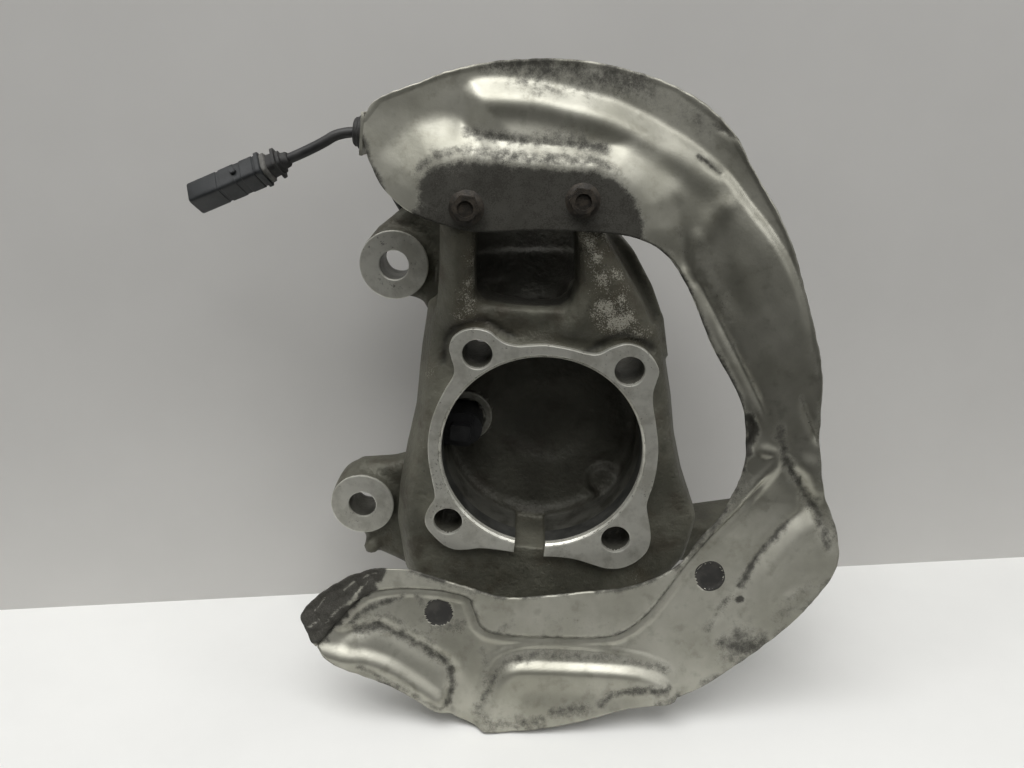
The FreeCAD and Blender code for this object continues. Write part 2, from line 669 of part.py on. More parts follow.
def make_shield():
    step = 12.0
    xs = [-120 + step * i for i in range(25)]
    zs = [-156 + step * i for i in range(30)]
    surface = Part.BSplineSurface()
    knots_x, knots_z = list(range(len(xs) - 2)), list(range(len(zs) - 2))
    surface.buildFromPolesMultsKnots(
        [[Vector(x, shield_face(x, z), z) for z in zs] for x in xs],
        [4] + [1] * (len(knots_x) - 2) + [4], [4] + [1] * (len(knots_z) - 2) + [4],
        knots_x, knots_z, False, False, 3, 3)
    slab = surface.toShape().extrude(Vector(0, float(s("sheet_thickness")), 0))
    loop = smooth_loop(OUTER_EDGE + INNER_EDGE)
    loop.translate(Vector(0, -60, 0))
    prism = Part.Face(loop).extrude(Vector(0, 120, 0))
    sheet_body = slab.common(prism)
    clearance = float(s("bolt_radius") + s("shield_hole_clearance"))
    for side in ("left", "right"):
        x, z = float(s(f"shield_bolt_{side}_x")), float(s(f"shield_bolt_{side}_z"))
        sheet_body = sheet_body.cut(along_y(x, z, clearance))
        place = plug_placement(float(s(f"plug_{side}_x")), float(s(f"plug_{side}_z")))
        hole = Part.makeCylinder(float(s("plug_hole_radius")), 40, Vector(0, 0, -20))
        hole.Placement = place
        sheet_body = sheet_body.cut(hole)
    thick, tall, deep = float(s("sheet_thickness")), float(s("tab_height")), float(s("tab_depth"))
    left, middle = float(s("tab_x")) - thick, float(s("grommet_z"))
    front = shield_face(left + 2, middle) + 0.3
    tab = Part.makeBox(thick, deep, tall, Vector(left, front, middle - tall / 2))
    tab = tab.makeFillet(3.0, [edge for edge in tab.Edges if abs(edge.BoundBox.XLength - thick) < 0.01
                               and edge.BoundBox.YMin > front + 1])
    neck_start = Vector(left - 8, float(s("grommet_y")), middle)
    tab = tab.cut(Part.makeCylinder(float(s("grommet_neck_radius")), 20, neck_start, Vector(1, 0, 0)))
    sheet_body = sheet_body.fuse(tab)
    feature = doc.addObject("Part::Feature", "dust_shield")
    feature.Label = "dust_shield"
    feature.Shape = sheet_body
    return feature


shield = make_shield()


# Fasteners and plugs

def turned(body, name, profile):
    """A solid turned about the body's own Z axis from a closed profile of (radius, height)."""
    sketch = new_sketch(body, name + "_profile", "XZ_Plane")
    sides = zip(profile, profile[1:] + profile[:1])
    fixed(sketch, [Part.LineSegment(Vector(*a, 0), Vector(*b, 0)) for a, b in sides])
    feature = body.newObject("PartDesign::Revolution", name)
    feature.Profile = sketch
    feature.ReferenceAxis = (sketch, ["V_Axis"])
    feature.Angle = 360
    sketch.Visibility = False
    return feature


def hexagon(flats):
    """Corners of a hexagon of the given width across its flats."""
    reach = flats / math.sqrt(3)
    turns = [math.radians(60 * i) for i in range(6)]
    return [(reach * math.cos(turn), reach * math.sin(turn), 0) for turn in turns]


def flange_bolt(label, placement, length):
    """Hexagon bolt with a coned flange; the flange's seat is at the body's origin, shank along -Z."""
    body = new_body(label)
    shank, flange = float(s("bolt_radius")), float(s("bolt_flange_radius"))
    thick, tall = float(s("bolt_flange_height")), float(s("bolt_head_height"))
    neck = float(s("bolt_head_flats")) / 2 - 0.2
    turned(body, "turned_form", [
        (0, -float(length)), (shank - 0.8, -float(length)), (shank, 0.8 - float(length)), (shank, 0),
        (flange, 0),
        (flange, thick * 0.6), (neck, thick + 0.7), (neck, tall), (0, tall),
    ])
    head = new_sketch(body, "hexagon_profile", "XY_Plane", thick * 0.5)
    fixed(head, rounded_outline(hexagon(float(s("bolt_head_flats")))))
    pad(body, head, "hexagon", tall - thick * 0.5 - 0.3)
    dish = new_sketch(body, "dish_profile", "XY_Plane", tall)
    circle(dish, "dish", 0, 0, s("bolt_head_flats") * 0.33)
    pocket(body, dish, "dish", 1.2)
    body.Placement = placement
    return body


def facing_out(x, y, z):
    """Placement whose own Z axis points outboard."""
    return Placement(Vector(x, y, z), Rotation(Vector(1, 0, 0), 90))


sheet_front = float(s("leg_pad_y") - s("sheet_thickness") - s("sheet_seat_gap"))
shield_bolts = [
    flange_bolt(
        f"shield_bolt_{side}",
        facing_out(float(s(f"shield_bolt_{side}_x")), sheet_front - 0.1, float(s(f"shield_bolt_{side}_z"))),
        s("bolt_length"))
    for side in ("left", "right")
]


def shield_plug(label, x, z):
    """Push-in rubber plug: flat head, neck through the sheet and a rounded barb behind it."""
    body = new_body(label)
    neck = float(s("plug_hole_radius") - s("plug_clearance"))
    head, tall = float(s("plug_head_radius")), float(s("plug_head_height"))
    gap = float(s("plug_clearance"))
    behind = -float(s("sheet_thickness")) - gap
    turned(body, "turned_form", [
        (0, behind - 5), (neck - 2, behind - 5), (neck + 0.7, behind - 1.6), (neck + 0.7, behind - 0.2),
        (neck, behind - 0.1),
        (neck, gap), (head, gap), (head, tall * 0.6), (head - 0.8, tall), (0, tall),
    ])
    body.Placement = plug_placement(x, z)
    return body


plugs = [
    shield_plug(f"shield_plug_{side}", float(s(f"plug_{side}_x")), float(s(f"plug_{side}_z")))
    for side in ("left", "right")
]


# Wheel-speed sensor, its seal and its bolt

def make_sensor():
    body = new_body("speed_sensor")
    x, z = s("sensor_x"), s("sensor_z")
    xv, zv = float(x), float(z)
    seat = s("sensor_boss_back") + s("plug_clearance")
    stem = s("sensor_hole_radius") - s("sensor_clearance")
    front_boss(body, "stem", x, z, stem, s("sensor_head_front") + 2, seat + 1)
    half, tall = float(s("sensor_head_width")) / 2, float(s("sensor_head_height")) / 2
    front_pad(body, "head", rounded_outline([
        (xv - half - 4, zv - tall, 2.5), (xv + half - 4, zv - tall, 2.5),
        (xv + half - 4, zv + tall, 2.5), (xv - half - 4, zv + tall, 2.5),
    ]), s("sensor_head_front"), s("bore_depth") - s("sensor_boss_proud") - 1)
    front_pad(body, "nose", rounded_outline([
        (xv - 6, zv - 4, 1), (xv + 3.4, zv - 4, 1), (xv + 3.4, zv + 4, 1), (xv - 6, zv + 4, 1),
    ]), s("sensor_nose_front"), s("sensor_head_front") + 1)
    drop = float(s("sensor_bolt_offset"))
    front_pad(body, "flange", rounded_outline([
        (xv - 13, zv - 8, 8), (xv - 8, zv - drop - 8, 7), (xv + 8, zv - drop - 8, 7),
        (xv + 13, zv - 8, 8), (xv + 13, zv + 12, 9), (xv - 13, zv + 12, 9),
    ]), seat, seat + s("sensor_flange"))
    front_boss(body, "cap", x, z, 8.5, seat + s("sensor_flange") - 1, seat + s("sensor_flange") + 7)
    exit_boss = new_sketch(body, "exit_profile", "XY_Plane", z + 4)
    circle(exit_boss, "exit", x, seat + s("sensor_flange") + 3.5, s("lead_radius") + 1.6)
    pad(body, exit_boss, "exit", 10)
    front_hole(body, "bolt_hole", [(x, z - drop, s("bolt_radius") + 0.4)], 40, 90)
    groove = body.newObject("PartDesign::SubtractiveTorus", "seal_groove")
    bind(groove, "Radius1", s("sensor_hole_radius") - s("seal_cord_radius") - 0.05)
    bind(groove, "Radius2", s("seal_cord_radius") + 0.1)
    groove.Placement = Placement(Vector(xv, 46, zv), Rotation(Vector(1, 0, 0), 90))
    return body


def make_seal():
    body = new_body("sensor_seal")
    ring = body.newObject("PartDesign::AdditiveTorus", "ring")
    bind(ring, "Radius1", s("sensor_hole_radius") - s("seal_cord_radius") - 0.05)
    bind(ring, "Radius2", s("seal_cord_radius"))
    place = Vector(float(s("sensor_x")), 46, float(s("sensor_z")))
    body.Placement = Placement(place, Rotation(Vector(1, 0, 0), 90))
    return body


sensor = make_sensor()
seal = make_seal()
flange_back = float(s("sensor_boss_back") + s("plug_clearance") + s("sensor_flange")) + 0.1
sensor_bolt = flange_bolt(
    "sensor_bolt",
    Placement(Vector(float(s("sensor_x")), flange_back, float(s("sensor_z") - s("sensor_bolt_offset"))),
              Rotation(Vector(1, 0, 0), -90)),
    s("bolt_length"))


# Lead: straight runs joined by tangent arcs, from the sensor to the connector

EXIT_Y = float(s("sensor_boss_back") + s("plug_clearance") + s("sensor_flange")) + 3.5


def from_connector(distance):
    """Point on the connector's axis, the given distance back along the lead."""
    tilt = math.radians(float(s("connector_tilt")))
    return (float(s("connector_x")) + distance * math.cos(tilt), 8.0,
            float(s("connector_z")) - distance * math.sin(tilt))


LEAD_ROUTE = [
    (float(s("sensor_x")), EXIT_Y, float(s("sensor_z")) + 14.3),
    (-38.5, 63.5, 34.0),
    (-47.0, 61.0, 56.0),
    (-63.0, 58.0, 77.0),
    (-79.0, 51.0, 99.0),
    (-81.0, 33.0, 108.5),
    (-69.0, 18.0, 117.5),
    (-77.5, float(s("grommet_y")), float(s("grommet_z"))),
    (-99.0, float(s("grommet_y")), float(s("grommet_z"))),
    from_connector(13.5),
    from_connector(0.15),
]


def arc_path(points, share=0.45):
    """Wire of runs and tangent arcs through the points, with the arc radii."""
    points = [Vector(*point) for point in points]
    edges, radii, start = [], [], points[0]
    for before, corner, after in zip(points, points[1:], points[2:]):
        back, ahead = before - corner, after - corner
        reach = share * min(back.Length, ahead.Length)
        turn = math.pi - back.getAngle(ahead)
        radius = reach / math.tan(turn / 2)
        radii.append(radius)
        back, ahead = back.normalize(), ahead.normalize()
        first, last = corner + back * reach, corner + ahead * reach
        inward = (back + ahead).normalize()
        middle = corner + inward * (radius / math.cos(turn / 2) - radius)
        edges.append(Part.LineSegment(start, first).toShape())
        edges.append(Part.Arc(first, middle, last).toShape())
        start = last
    edges.append(Part.LineSegment(start, points[-1]).toShape())
    return Part.Wire(edges), radii


def make_lead():
    path, radii = arc_path(LEAD_ROUTE)
    first = Vector(*LEAD_ROUTE[0])
    way = (Vector(*LEAD_ROUTE[1]) - first).normalize()
    section = Part.Wire(Part.Circle(first, way, float(s("lead_radius"))).toShape())
    tube = path.makePipeShell([section], True, False)
    expected = math.pi * float(s("lead_radius")) ** 2 * path.Length
    print("lead length", round(path.Length, 1), "volume ratio", round(tube.Volume / expected, 4))
    print("lead radii", [round(radius, 1) for radius in radii])
    feature = doc.addObject("Part::Feature", "sensor_lead")
    feature.Label = "sensor_lead"
    feature.Shape = tube
    return feature


lead = make_lead()


# Grommet in the shield's folded tab

def make_grommet():
    body = new_body("lead_grommet")
    neck, rim = float(s("grommet_neck_radius")) - 0.1, float(s("grommet_radius"))
    bore = float(s("lead_radius")) + 0.15
    half = float(s("sheet_thickness")) / 2 + 0.1
    turned(body, "turned_form", [
        (bore, -half - 2.6), (rim - 1.0, -half - 2.6), (rim - 0.3, -half), (neck, -half), (neck, half),
        (rim, half),
        (rim, half + 2.2), (rim - 1.2, half + 4.2), (bore, half + 4.2),
    ])
    body.Placement = Placement(
        Vector(float(s("tab_x") - s("sheet_thickness") / 2), float(s("grommet_y")), float(s("grommet_z"))),
        Rotation(Vector(0, 1, 0), -90))
    return body


grommet = make_grommet()


# Connector, with its own X axis from the lead towards its mouth

CONNECTOR = Placement(
    Vector(float(s("connector_x")), 8, float(s("connector_z"))),
    Rotation(Vector(0, 1, 0), 180 + float(s("connector_tilt"))).multiply(Rotation(Vector(1, 0, 0), 35)))


def along_connector(body, name, outline, start, end):
    """A section in the connector's YZ plane, padded between two distances along its axis."""
    sketch = new_sketch(body, name + "_profile", "YZ_Plane", start)
    fixed(sketch, rounded_outline(outline))
    return pad(body, sketch, name, float(end) - float(start))


def block(width, height, radius):
    """Corners of a rounded rectangle centred on the axis."""
    return [(-width / 2, -height / 2, radius), (width / 2, -height / 2, radius),
            (width / 2, height / 2, radius), (-width / 2, height / 2, radius)]


def make_connector():
    wide = float(s("connector_width"))
    boot_end, shell_end = float(s("boot_length")), float(s("boot_length") + s("connector_length"))
    shell = new_body("connector_shell")
    along_connector(shell, "housing", block(wide, wide * 0.9, 1.8), boot_end + 2.2, shell_end)
    along_connector(shell, "collar", block(wide + 1.4, wide * 0.9 + 1.4, 2.2), boot_end + 2.2, boot_end + 4.0)
    along_connector(shell, "latch", block(4.0, wide * 0.9 + 2.0, 0.5), boot_end + 18, boot_end + 24)
    peg = new_sketch(shell, "peg_profile", "XZ_Plane", -(wide / 2 + 1.3))
    circle(peg, "peg", boot_end + 14, 0, 1.2)
    pad(shell, peg, "pegs", wide + 2.6)
    mouth = new_sketch(shell, "mouth_profile", "YZ_Plane", shell_end)
    fixed(mouth, rounded_outline(block(wide - 2.6, wide * 0.9 - 2.6, 1.2)))
    pocket(shell, mouth, "mouth", 13)
    shell.Placement = CONNECTOR
    ring = new_body("connector_seal")
    along_connector(ring, "ring", block(wide - 1.2, wide * 0.9 - 1.2, 2.0), boot_end, boot_end + 2.2)
    ring.Placement = CONNECTOR
    boot = new_body("connector_boot")
    along_connector(boot, "sleeve", block(wide - 2.6, wide * 0.9 - 2.6, 3.0), 3.0, boot_end)
    along_connector(boot, "nose", block(wide - 4.4, wide * 0.9 - 4.4, 2.4), 0, 3.0)
    along_connector(boot, "barbs", block(wide + 0.8, 2.0, 0.4), 4.4, 5.6)
    boot.Placement = CONNECTOR
    pins = []
    for number, offset in enumerate((-1.8, 1.8), start=1):
        pin = new_body(f"connector_pin_{number}")
        sketch = new_sketch(pin, "section", "YZ_Plane", shell_end - 13)
        near, far = offset - 0.4, offset + 0.4
        fixed(sketch, rounded_outline([(near, -0.4, 0), (far, -0.4, 0), (far, 0.4, 0), (near, 0.4, 0)]))
        pad(pin, sketch, "blade", 9)
        pin.Placement = CONNECTOR
        pins.append(pin)
    return [shell, ring, boot] + pins


connector = make_connector()
doc.recompute()

# Checks and export
PARTS = [knuckle, shield, *shield_bolts, *plugs, sensor, seal, sensor_bolt, lead, grommet, *connector]
for item in doc.Objects:
    if "Invalid" in item.State or "Error" in item.State:
        raise RuntimeError(f"{item.Name} failed: {item.State}")
os.makedirs("parts", exist_ok=True)
for part in PARTS:
    shape = part.Shape
    if shape.isNull() or not shape.isValid() or len(shape.Solids) != 1:
        raise RuntimeError(f"{part.Label} has no single valid solid")
    print(part.Label, round(shape.Volume))
for part in PARTS:
    part.Shape.exportStep(f"parts/{part.Label}.step")
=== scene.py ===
import bpy
import math
import numpy as np
from mathutils import Matrix, Vector


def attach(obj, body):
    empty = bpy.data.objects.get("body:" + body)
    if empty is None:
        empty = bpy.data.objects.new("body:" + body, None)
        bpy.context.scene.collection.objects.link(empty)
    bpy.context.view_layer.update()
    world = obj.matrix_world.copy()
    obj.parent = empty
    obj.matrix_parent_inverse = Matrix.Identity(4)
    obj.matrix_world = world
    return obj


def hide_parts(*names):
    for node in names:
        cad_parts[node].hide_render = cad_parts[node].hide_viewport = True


# Steering knuckle with its dust shield and wheel-speed sensor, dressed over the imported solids.
# Frame: origin at the centre of the bearing seat, -Y outboard, +Z up, +X to the right from outboard.
# Shapes are worked out in millimetres and put into the meshes in metres.

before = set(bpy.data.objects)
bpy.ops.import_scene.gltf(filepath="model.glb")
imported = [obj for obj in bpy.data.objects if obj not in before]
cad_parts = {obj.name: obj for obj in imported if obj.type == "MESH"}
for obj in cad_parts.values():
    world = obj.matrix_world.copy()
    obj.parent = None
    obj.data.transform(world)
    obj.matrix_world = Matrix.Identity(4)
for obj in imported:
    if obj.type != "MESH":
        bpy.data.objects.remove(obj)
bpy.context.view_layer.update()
MM = 0.001

# Sizes that the shapes share
BORE = 46.5
CUP = 47.1
BORE_DEPTH = 38.0
BOSS_FACE = BORE_DEPTH - 2.5
RING_HEIGHT = 4.0
PLATE_BACK = 22.0
DRUM = 56.0
DRUM_BACK = 44.0
HUB_CIRCLE = 56.0
HUB_HOLE = 6.75
LUG = 13.5
LUG_BACK = 38.0
WEB_DEPTHS = (29.0, 45.0)
UPPER_OFFSET = 34.0
LOWER_OFFSET = 40.0
NOTCH = 14.5
NOTCH_DEPTH = 3.4
EARS = ((-76.5, 75.2), (-84.7, -47.7))
EAR_FACE = 24.0
EAR_BACK = 47.0
EAR_RADIUS = 16.0
EAR_HOLE = 6.75
STRUT = 26.5
CLAMP = 34.5
CLAMP_LENGTH = 92.0
CLAMP_FOOT = np.array([-14.0, 34.0, 60.0])
CLAMP_LEAN = np.array([math.tan(math.radians(-7.5)), math.tan(math.radians(5.0)), 1.0])
PINCH_BOLT = (78.5, 122.0)
PINCH_LUG = 14.0
PINCH_HOLE = 6.25
PINCH_WIDTH = (-40.0, -6.0)
BALL_JOINT = (0.0, 30.0)
BALL_BOSS = 21.0
BALL_HOLE = 9.0
BALL_HEIGHTS = (-108.0, -76.0)
ARM_END = (119.0, 50.0)
ARM_HOLE = 7.0
ARM_HEIGHTS = (-62.0, -39.5)
PAD_FACE = -8.5
SHEET = 1.2
SHIELD_BOLTS = ((-44.0, 109.0), (2.5, 117.0))
BOLT_HOLE = 3.1
PLUGS = ((-39.6, -80.0), (85.0, -48.5))
SENSOR = (-37.5, 0.0)
SENSOR_BOSS = 13.0
SENSOR_HOLE = 9.0
RECESS = (-52.0, -32.4)
RECESS_HALF = 9.6
LEAD_EXIT = (8.0, 132.6)
HUB_HOLES = [
    (side * offset, up * math.sqrt(HUB_CIRCLE ** 2 - offset ** 2))
    for offset, up in ((UPPER_OFFSET, 1), (LOWER_OFFSET, -1)) for side in (-1, 1)
]


# Shader values, groups and finishes

class Value:
    """A shader value that joins others and numbers by plain arithmetic."""

    def __init__(self, tree, socket):
        self.tree, self.socket = tree, socket

    def joined(self, operation, first, second, clamp=False):
        return node(self.tree, "ShaderNodeMath", {0: first, 1: second}, operation=operation, use_clamp=clamp)

    def __add__(self, other):
        return self.joined("ADD", self, other)

    def __sub__(self, other):
        return self.joined("SUBTRACT", self, other)

    def __rsub__(self, other):
        return self.joined("SUBTRACT", other, self)

    def __mul__(self, other):
        return self.joined("MULTIPLY", self, other)

    def __rtruediv__(self, other):
        return self.joined("DIVIDE", other, self)


def feed(tree, socket, value):
    """Links a value to a socket, or sets the socket to a number or a colour."""
    if isinstance(value, Value):
        tree.links.new(value.socket, socket)
    elif isinstance(value, tuple):
        socket.default_value = (*value, 1.0)
    else:
        socket.default_value = value


def node(tree, kind, feeds=None, output=0, **settings):
    """An output of a new node with its settings, whose inputs are fed by name or number."""
    item = tree.nodes.new(kind)
    for key, value in settings.items():
        setattr(item, key, value)
    for key, value in (feeds or {}).items():
        feed(tree, item.inputs[key], value)
    return Value(tree, item.outputs[output])


def ramp(value, low, high):
    """0 below low and 1 above high, smoothly."""
    feeds = {0: value, 1: low, 2: high}
    return node(value.tree, "ShaderNodeMapRange", feeds, interpolation_type="SMOOTHSTEP")


def mix_colours(share, first, second):
    """Mixes two colours, each a value or a tuple."""
    tree = share.tree
    item = tree.nodes.new("ShaderNodeMix")
    item.data_type = "RGBA"
    colours = [socket for socket in item.inputs if socket.type == "RGBA"]
    for socket, value in zip((item.inputs[0], *colours), (share, first, second)):
        feed(tree, socket, value)
    return Value(tree, [socket for socket in item.outputs if socket.type == "RGBA"][0])


def new_group(name, output, **inputs):
    """A group of float sockets: the group, its inputs as values, its output's socket and its place."""
    group = bpy.data.node_groups.new(name, "ShaderNodeTree")
    for label, start in inputs.items():
        group.interface.new_socket(label, in_out="INPUT", socket_type="NodeSocketFloat").default_value = start
    group.interface.new_socket(output, in_out="OUTPUT", socket_type="NodeSocketFloat")
    enter, leave = group.nodes.new("NodeGroupInput"), group.nodes.new("NodeGroupOutput")
    values = [Value(group, enter.outputs[label]) for label in inputs]
    return group, values, leave.inputs[0], node(group, "ShaderNodeTexCoord", output="Object")


def noise(place, size, seed, detail, rough=0.5):
    """Noise whose grains have about the given size in millimetres."""
    feeds = {"Vector": place, "Scale": 1 / MM / size, "W": seed, "Detail": detail, "Roughness": rough}
    return node(place.tree, "ShaderNodeTexNoise", feeds, noise_dimensions="4D")


def make_mottle():
    """Group: soft cloud noise at a size given in millimetres, as one value about 0.5."""
    group, (size, seed), leave, place = new_group("mottle", "Value", Size=10.0, Seed=0.0)
    feed(group, leave, noise(place, size, seed, 5.0, 0.6))
    return group


def make_speckle():
    """Group: fine grains of a size in millimetres, gathered in clouds, covering the given share."""
    group, (size, cover, seed), leave, place = new_group("speckle", "Mask", Size=1.0, Cover=0.3, Seed=0.0)
    fine = noise(place, size, seed, 3.0, 0.75)
    clouds = noise(place, size * 6.0, seed, 2.0) * 0.5 + noise(place, size * 22.0, seed, 2.0) * 0.5
    feed(group, leave, ramp(fine * 0.6 + clouds * 0.4 - (0.64 - cover * 0.28), -0.01, 0.06))
    return group


def make_grime_and_shade():
    """Group: turns a smooth amount of darkening into a mask with a fine-grained, ragged edge; on the sheet
    that amount is road soiling with painted shade in creases and grooves.
    """
    group, (amount, seed), leave, place = new_group("grime_and_shade", "Mask", Amount=0.0, Seed=0.0)
    fine, middle, broad = [
        (noise(place, size, seed, detail, 0.65) - 0.5) * share
        for size, detail, share in ((0.55, 3.0, 0.5), (3.0, 4.0, 0.75), (12.0, 3.0, 0.6))
    ]
    feed(group, leave, ramp(amount + (fine + (middle + broad)), 0.2, 0.85))
    return group


GRIME_AND_SHADE = make_grime_and_shade()
MOTTLE = make_mottle()
SPECKLE = make_speckle()


class Finish:
    """A material in the making: its tree, its surface shader's inputs and the colour laid on so far."""

    def __init__(self, name, metallic, roughness):
        self.material = bpy.data.materials.new(name)
        self.material.use_nodes = True
        self.tree = self.material.node_tree
        self.surface = self.tree.nodes["Principled BSDF"].inputs
        self.put("Metallic", metallic)
        self.put("Roughness", roughness)

    def put(self, label, value):
        """Feeds an input of the surface shader."""
        feed(self.tree, self.surface[label], value)

    def tones(self, share, first, second):
        """Starts the colour as two tones."""
        self.colour = mix_colours(share, first, second)
        self.put("Base Color", self.colour)

    def lay(self, share, colour):
        """Lays a colour over what is there."""
        self.tones(share, self.colour, colour)

    def bump(self, height, distance, strength):
        """Bumps the surface by a height whose unit is the distance in millimetres."""
        feeds = {"Height": height, "Strength": strength, "Distance": distance * MM}
        self.put("Normal", node(self.tree, "ShaderNodeBump", feeds))

    def group(self, group, **feeds):
        """The value of a shader group."""
        return node(self.tree, "ShaderNodeGroup", feeds, node_tree=group)

    def mottle(self, size, seed):
        """Soft clouds of a size in millimetres."""
        return self.group(MOTTLE, Size=size, Seed=seed)

    def speckle(self, size, cover, seed):
        """Fine grains of a size in millimetres over a share of the surface."""
        return self.group(SPECKLE, Size=size, Cover=cover, Seed=seed)

    def attribute(self, name):
        """A value painted on the mesh's points."""
        settings = {"attribute_name": name, "attribute_type": "GEOMETRY"}
        return node(self.tree, "ShaderNodeAttribute", output="Fac", **settings)


def cast_aluminium():
    """Dull grey-olive casting with brown soiling, pale corrosion grains, satin machined seats and painted
    shade in its hollows.
    """
    finish = Finish("cast_aluminium", 0.3, 0.6)
    machined, specks, shade = [finish.attribute(name) for name in ("machined", "specks", "shade")]
    cloud = finish.mottle(28.0, 1.0)
    finish.tones(ramp(cloud, 0.35, 0.65), (0.076, 0.074, 0.056), (0.142, 0.139, 0.108))
    finish.lay(ramp(finish.mottle(11.0, 4.0), 0.48, 0.68) * 0.6, (0.052, 0.041, 0.028))
    finish.lay(specks * 0.6, (0.10, 0.086, 0.056))
    pale = finish.speckle(0.62, specks * 0.56, 2.0)
    finish.lay(pale * 0.7, (0.60, 0.58, 0.49))
    finish.lay(finish.speckle(1.1, 0.2, 7.0) * 0.6, (0.03, 0.027, 0.022))
    # Painted shade from the shade attribute: the strut socket, the cup, the lower front of the body and the
    # hollows by the legs and lugs.
    finish.lay(shade * 0.85, (0.018, 0.017, 0.015))
    streaks = ramp(finish.mottle(14.0, 9.0), 0.42, 0.62)
    finish.lay(machined, mix_colours(streaks, (0.22, 0.217, 0.19), (0.10, 0.098, 0.082)))
    rough = cloud * 0.3 + 0.42
    smooth = finish.mottle(6.0, 3.0) * 0.2 + 0.25
    finish.put("Roughness", node(finish.tree, "ShaderNodeMix", {0: machined, 2: rough, 3: smooth}))
    finish.put("Metallic", machined * 0.5 + 0.35)
    grain = finish.mottle(2.4, 5.0) + finish.mottle(9.0, 6.0) * 1.6 + pale * 0.35
    finish.bump(grain * (1.0 - machined * 0.93), 0.9, 0.8)
    return finish.material


def machined_aluminium():
    """Bright milled aluminium with faint stains and fine scratches."""
    finish = Finish("machined_aluminium", 0.65, 0.36)
    cloud = finish.mottle(9.0, 2.0)
    finish.tones(ramp(cloud, 0.4, 0.66), (0.70, 0.69, 0.62), (0.50, 0.49, 0.43))
    finish.lay(finish.speckle(1.3, 0.24, 5.0) * 0.75, (0.13, 0.12, 0.095))
    finish.put("Roughness", cloud * 0.35 + 0.2)
    finish.bump(finish.mottle(0.9, 8.0), 0.08, 0.6)
    return finish.material


def pressed_aluminium():
    """Satin pressed sheet: a matte film on parts of it, black road soiling with painted shade in its creases
    and grooves, fine specks and scuffs.
    """
    finish = Finish("pressed_aluminium", 0.9, 0.3)
    dirt, film = finish.attribute("dirt"), finish.attribute("film")
    cloud, smear = finish.mottle(30.0, 1.5), finish.mottle(7.0, 6.0)
    finish.tones(ramp(cloud, 0.35, 0.68), (0.48, 0.47, 0.405), (0.35, 0.342, 0.285))
    finish.lay(ramp(smear, 0.5, 0.7) * 0.4, (0.17, 0.162, 0.125))
    # Black layer: road soiling, with painted shade along the sheet's creases and grooves.
    black = finish.group(GRIME_AND_SHADE, Amount=dirt, Seed=2.0)
    finish.lay(black * 0.9, (0.019, 0.0175, 0.0135))
    specks = finish.speckle(0.6, dirt * 0.5 + 0.03, 3.0)
    finish.lay(specks * 0.75, (0.03, 0.027, 0.021))
    finish.lay(finish.speckle(0.5, 0.12, 11.0) * black * 0.45, (0.3, 0.285, 0.24))
    patchy = film * (smear * 0.8 + 0.55)
    finish.put("Roughness", cloud * 0.12 + 0.31 + patchy * 0.12 + black * 0.3)
    metal = 0.95 - black * 0.45
    finish.put("Metallic", metal.joined("SUBTRACT", metal, patchy * 0.5, clamp=True))
    wave = finish.mottle(1.2, 4.0) * 0.3 + finish.mottle(16.0, 8.0)
    finish.bump(wave + specks * 0.06, 0.4, 0.45)
    return finish.material


def plain_finish(name, dark, light, metallic, roughness, size, grain, spots=None):
    """A moulded, rubber or rusty finish: two mottled tones, varied gloss, fine grain and optional spots."""
    finish = Finish(name, metallic, roughness)
    cloud = finish.mottle(size, 2.5)
    finish.tones(ramp(cloud, 0.38, 0.64), dark, light)
    if spots:
        finish.lay(finish.speckle(0.9, 0.3, 6.0) * 0.75, spots)
    finish.put("Roughness", cloud * 0.25 + (roughness - 0.12))
    finish.bump(finish.mottle(size * 0.15, 5.5), grain, 0.7)
    return finish.material


CAST = cast_aluminium()
MACHINED = machined_aluminium()
PRESSED = pressed_aluminium()
RUST = plain_finish("bolt_steel", (0.020, 0.017, 0.013), (0.052, 0.042, 0.031), 0.3, 0.55, 3.0, 0.3,
                    (0.012, 0.010, 0.008))
# The bore's wall: a darker copy of the machined metal, painted shade inside the bore.
SHADED_BORE = plain_finish("shaded_bore", (0.055, 0.056, 0.052), (0.11, 0.11, 0.10), 0.6, 0.42, 12.0, 0.08)
RUBBER = plain_finish("black_rubber", (0.014, 0.0135, 0.013), (0.035, 0.034, 0.032), 0.0, 0.66, 5.0, 0.2)
PLUG_RUBBER = plain_finish("plug_rubber", (0.024, 0.023, 0.021), (0.05, 0.047, 0.041), 0.0, 0.62, 6.0, 0.12)
PLASTIC = plain_finish("black_plastic", (0.013, 0.0145, 0.0155), (0.027, 0.0295, 0.031), 0.0, 0.5, 7.0, 0.12)
BOSS = plain_finish("turned_boss", (0.20, 0.197, 0.17), (0.34, 0.335, 0.29), 0.5, 0.42, 5.0, 0.1)
SENSOR_PLASTIC = plain_finish("sensor_plastic", (0.006, 0.006, 0.007), (0.014, 0.014, 0.015), 0.0, 0.5, 6.0,
                              0.1)
LEAD = plain_finish("lead_jacket", (0.016, 0.016, 0.016), (0.035, 0.034, 0.033), 0.0, 0.5, 9.0, 0.1)
COLLAR = plain_finish("grey_rubber", (0.10, 0.098, 0.09), (0.17, 0.165, 0.15), 0.0, 0.65, 4.0, 0.15)
PINS = plain_finish("pin_metal", (0.5, 0.45, 0.33), (0.62, 0.57, 0.44), 0.9, 0.35, 2.0, 0.05)


# Mesh helpers

def add_object(name, data):
    """A new object with the given data, in the scene."""
    item = bpy.data.objects.new(name, data)
    bpy.context.scene.collection.objects.link(item)
    return item


def add_piece(name, data, nodes=()):
    """A new piece that rides on the root body and the nodes that it stands for."""
    item = add_object(name, data)
    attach(item, "root")
    if nodes:
        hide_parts(*nodes)
    return item


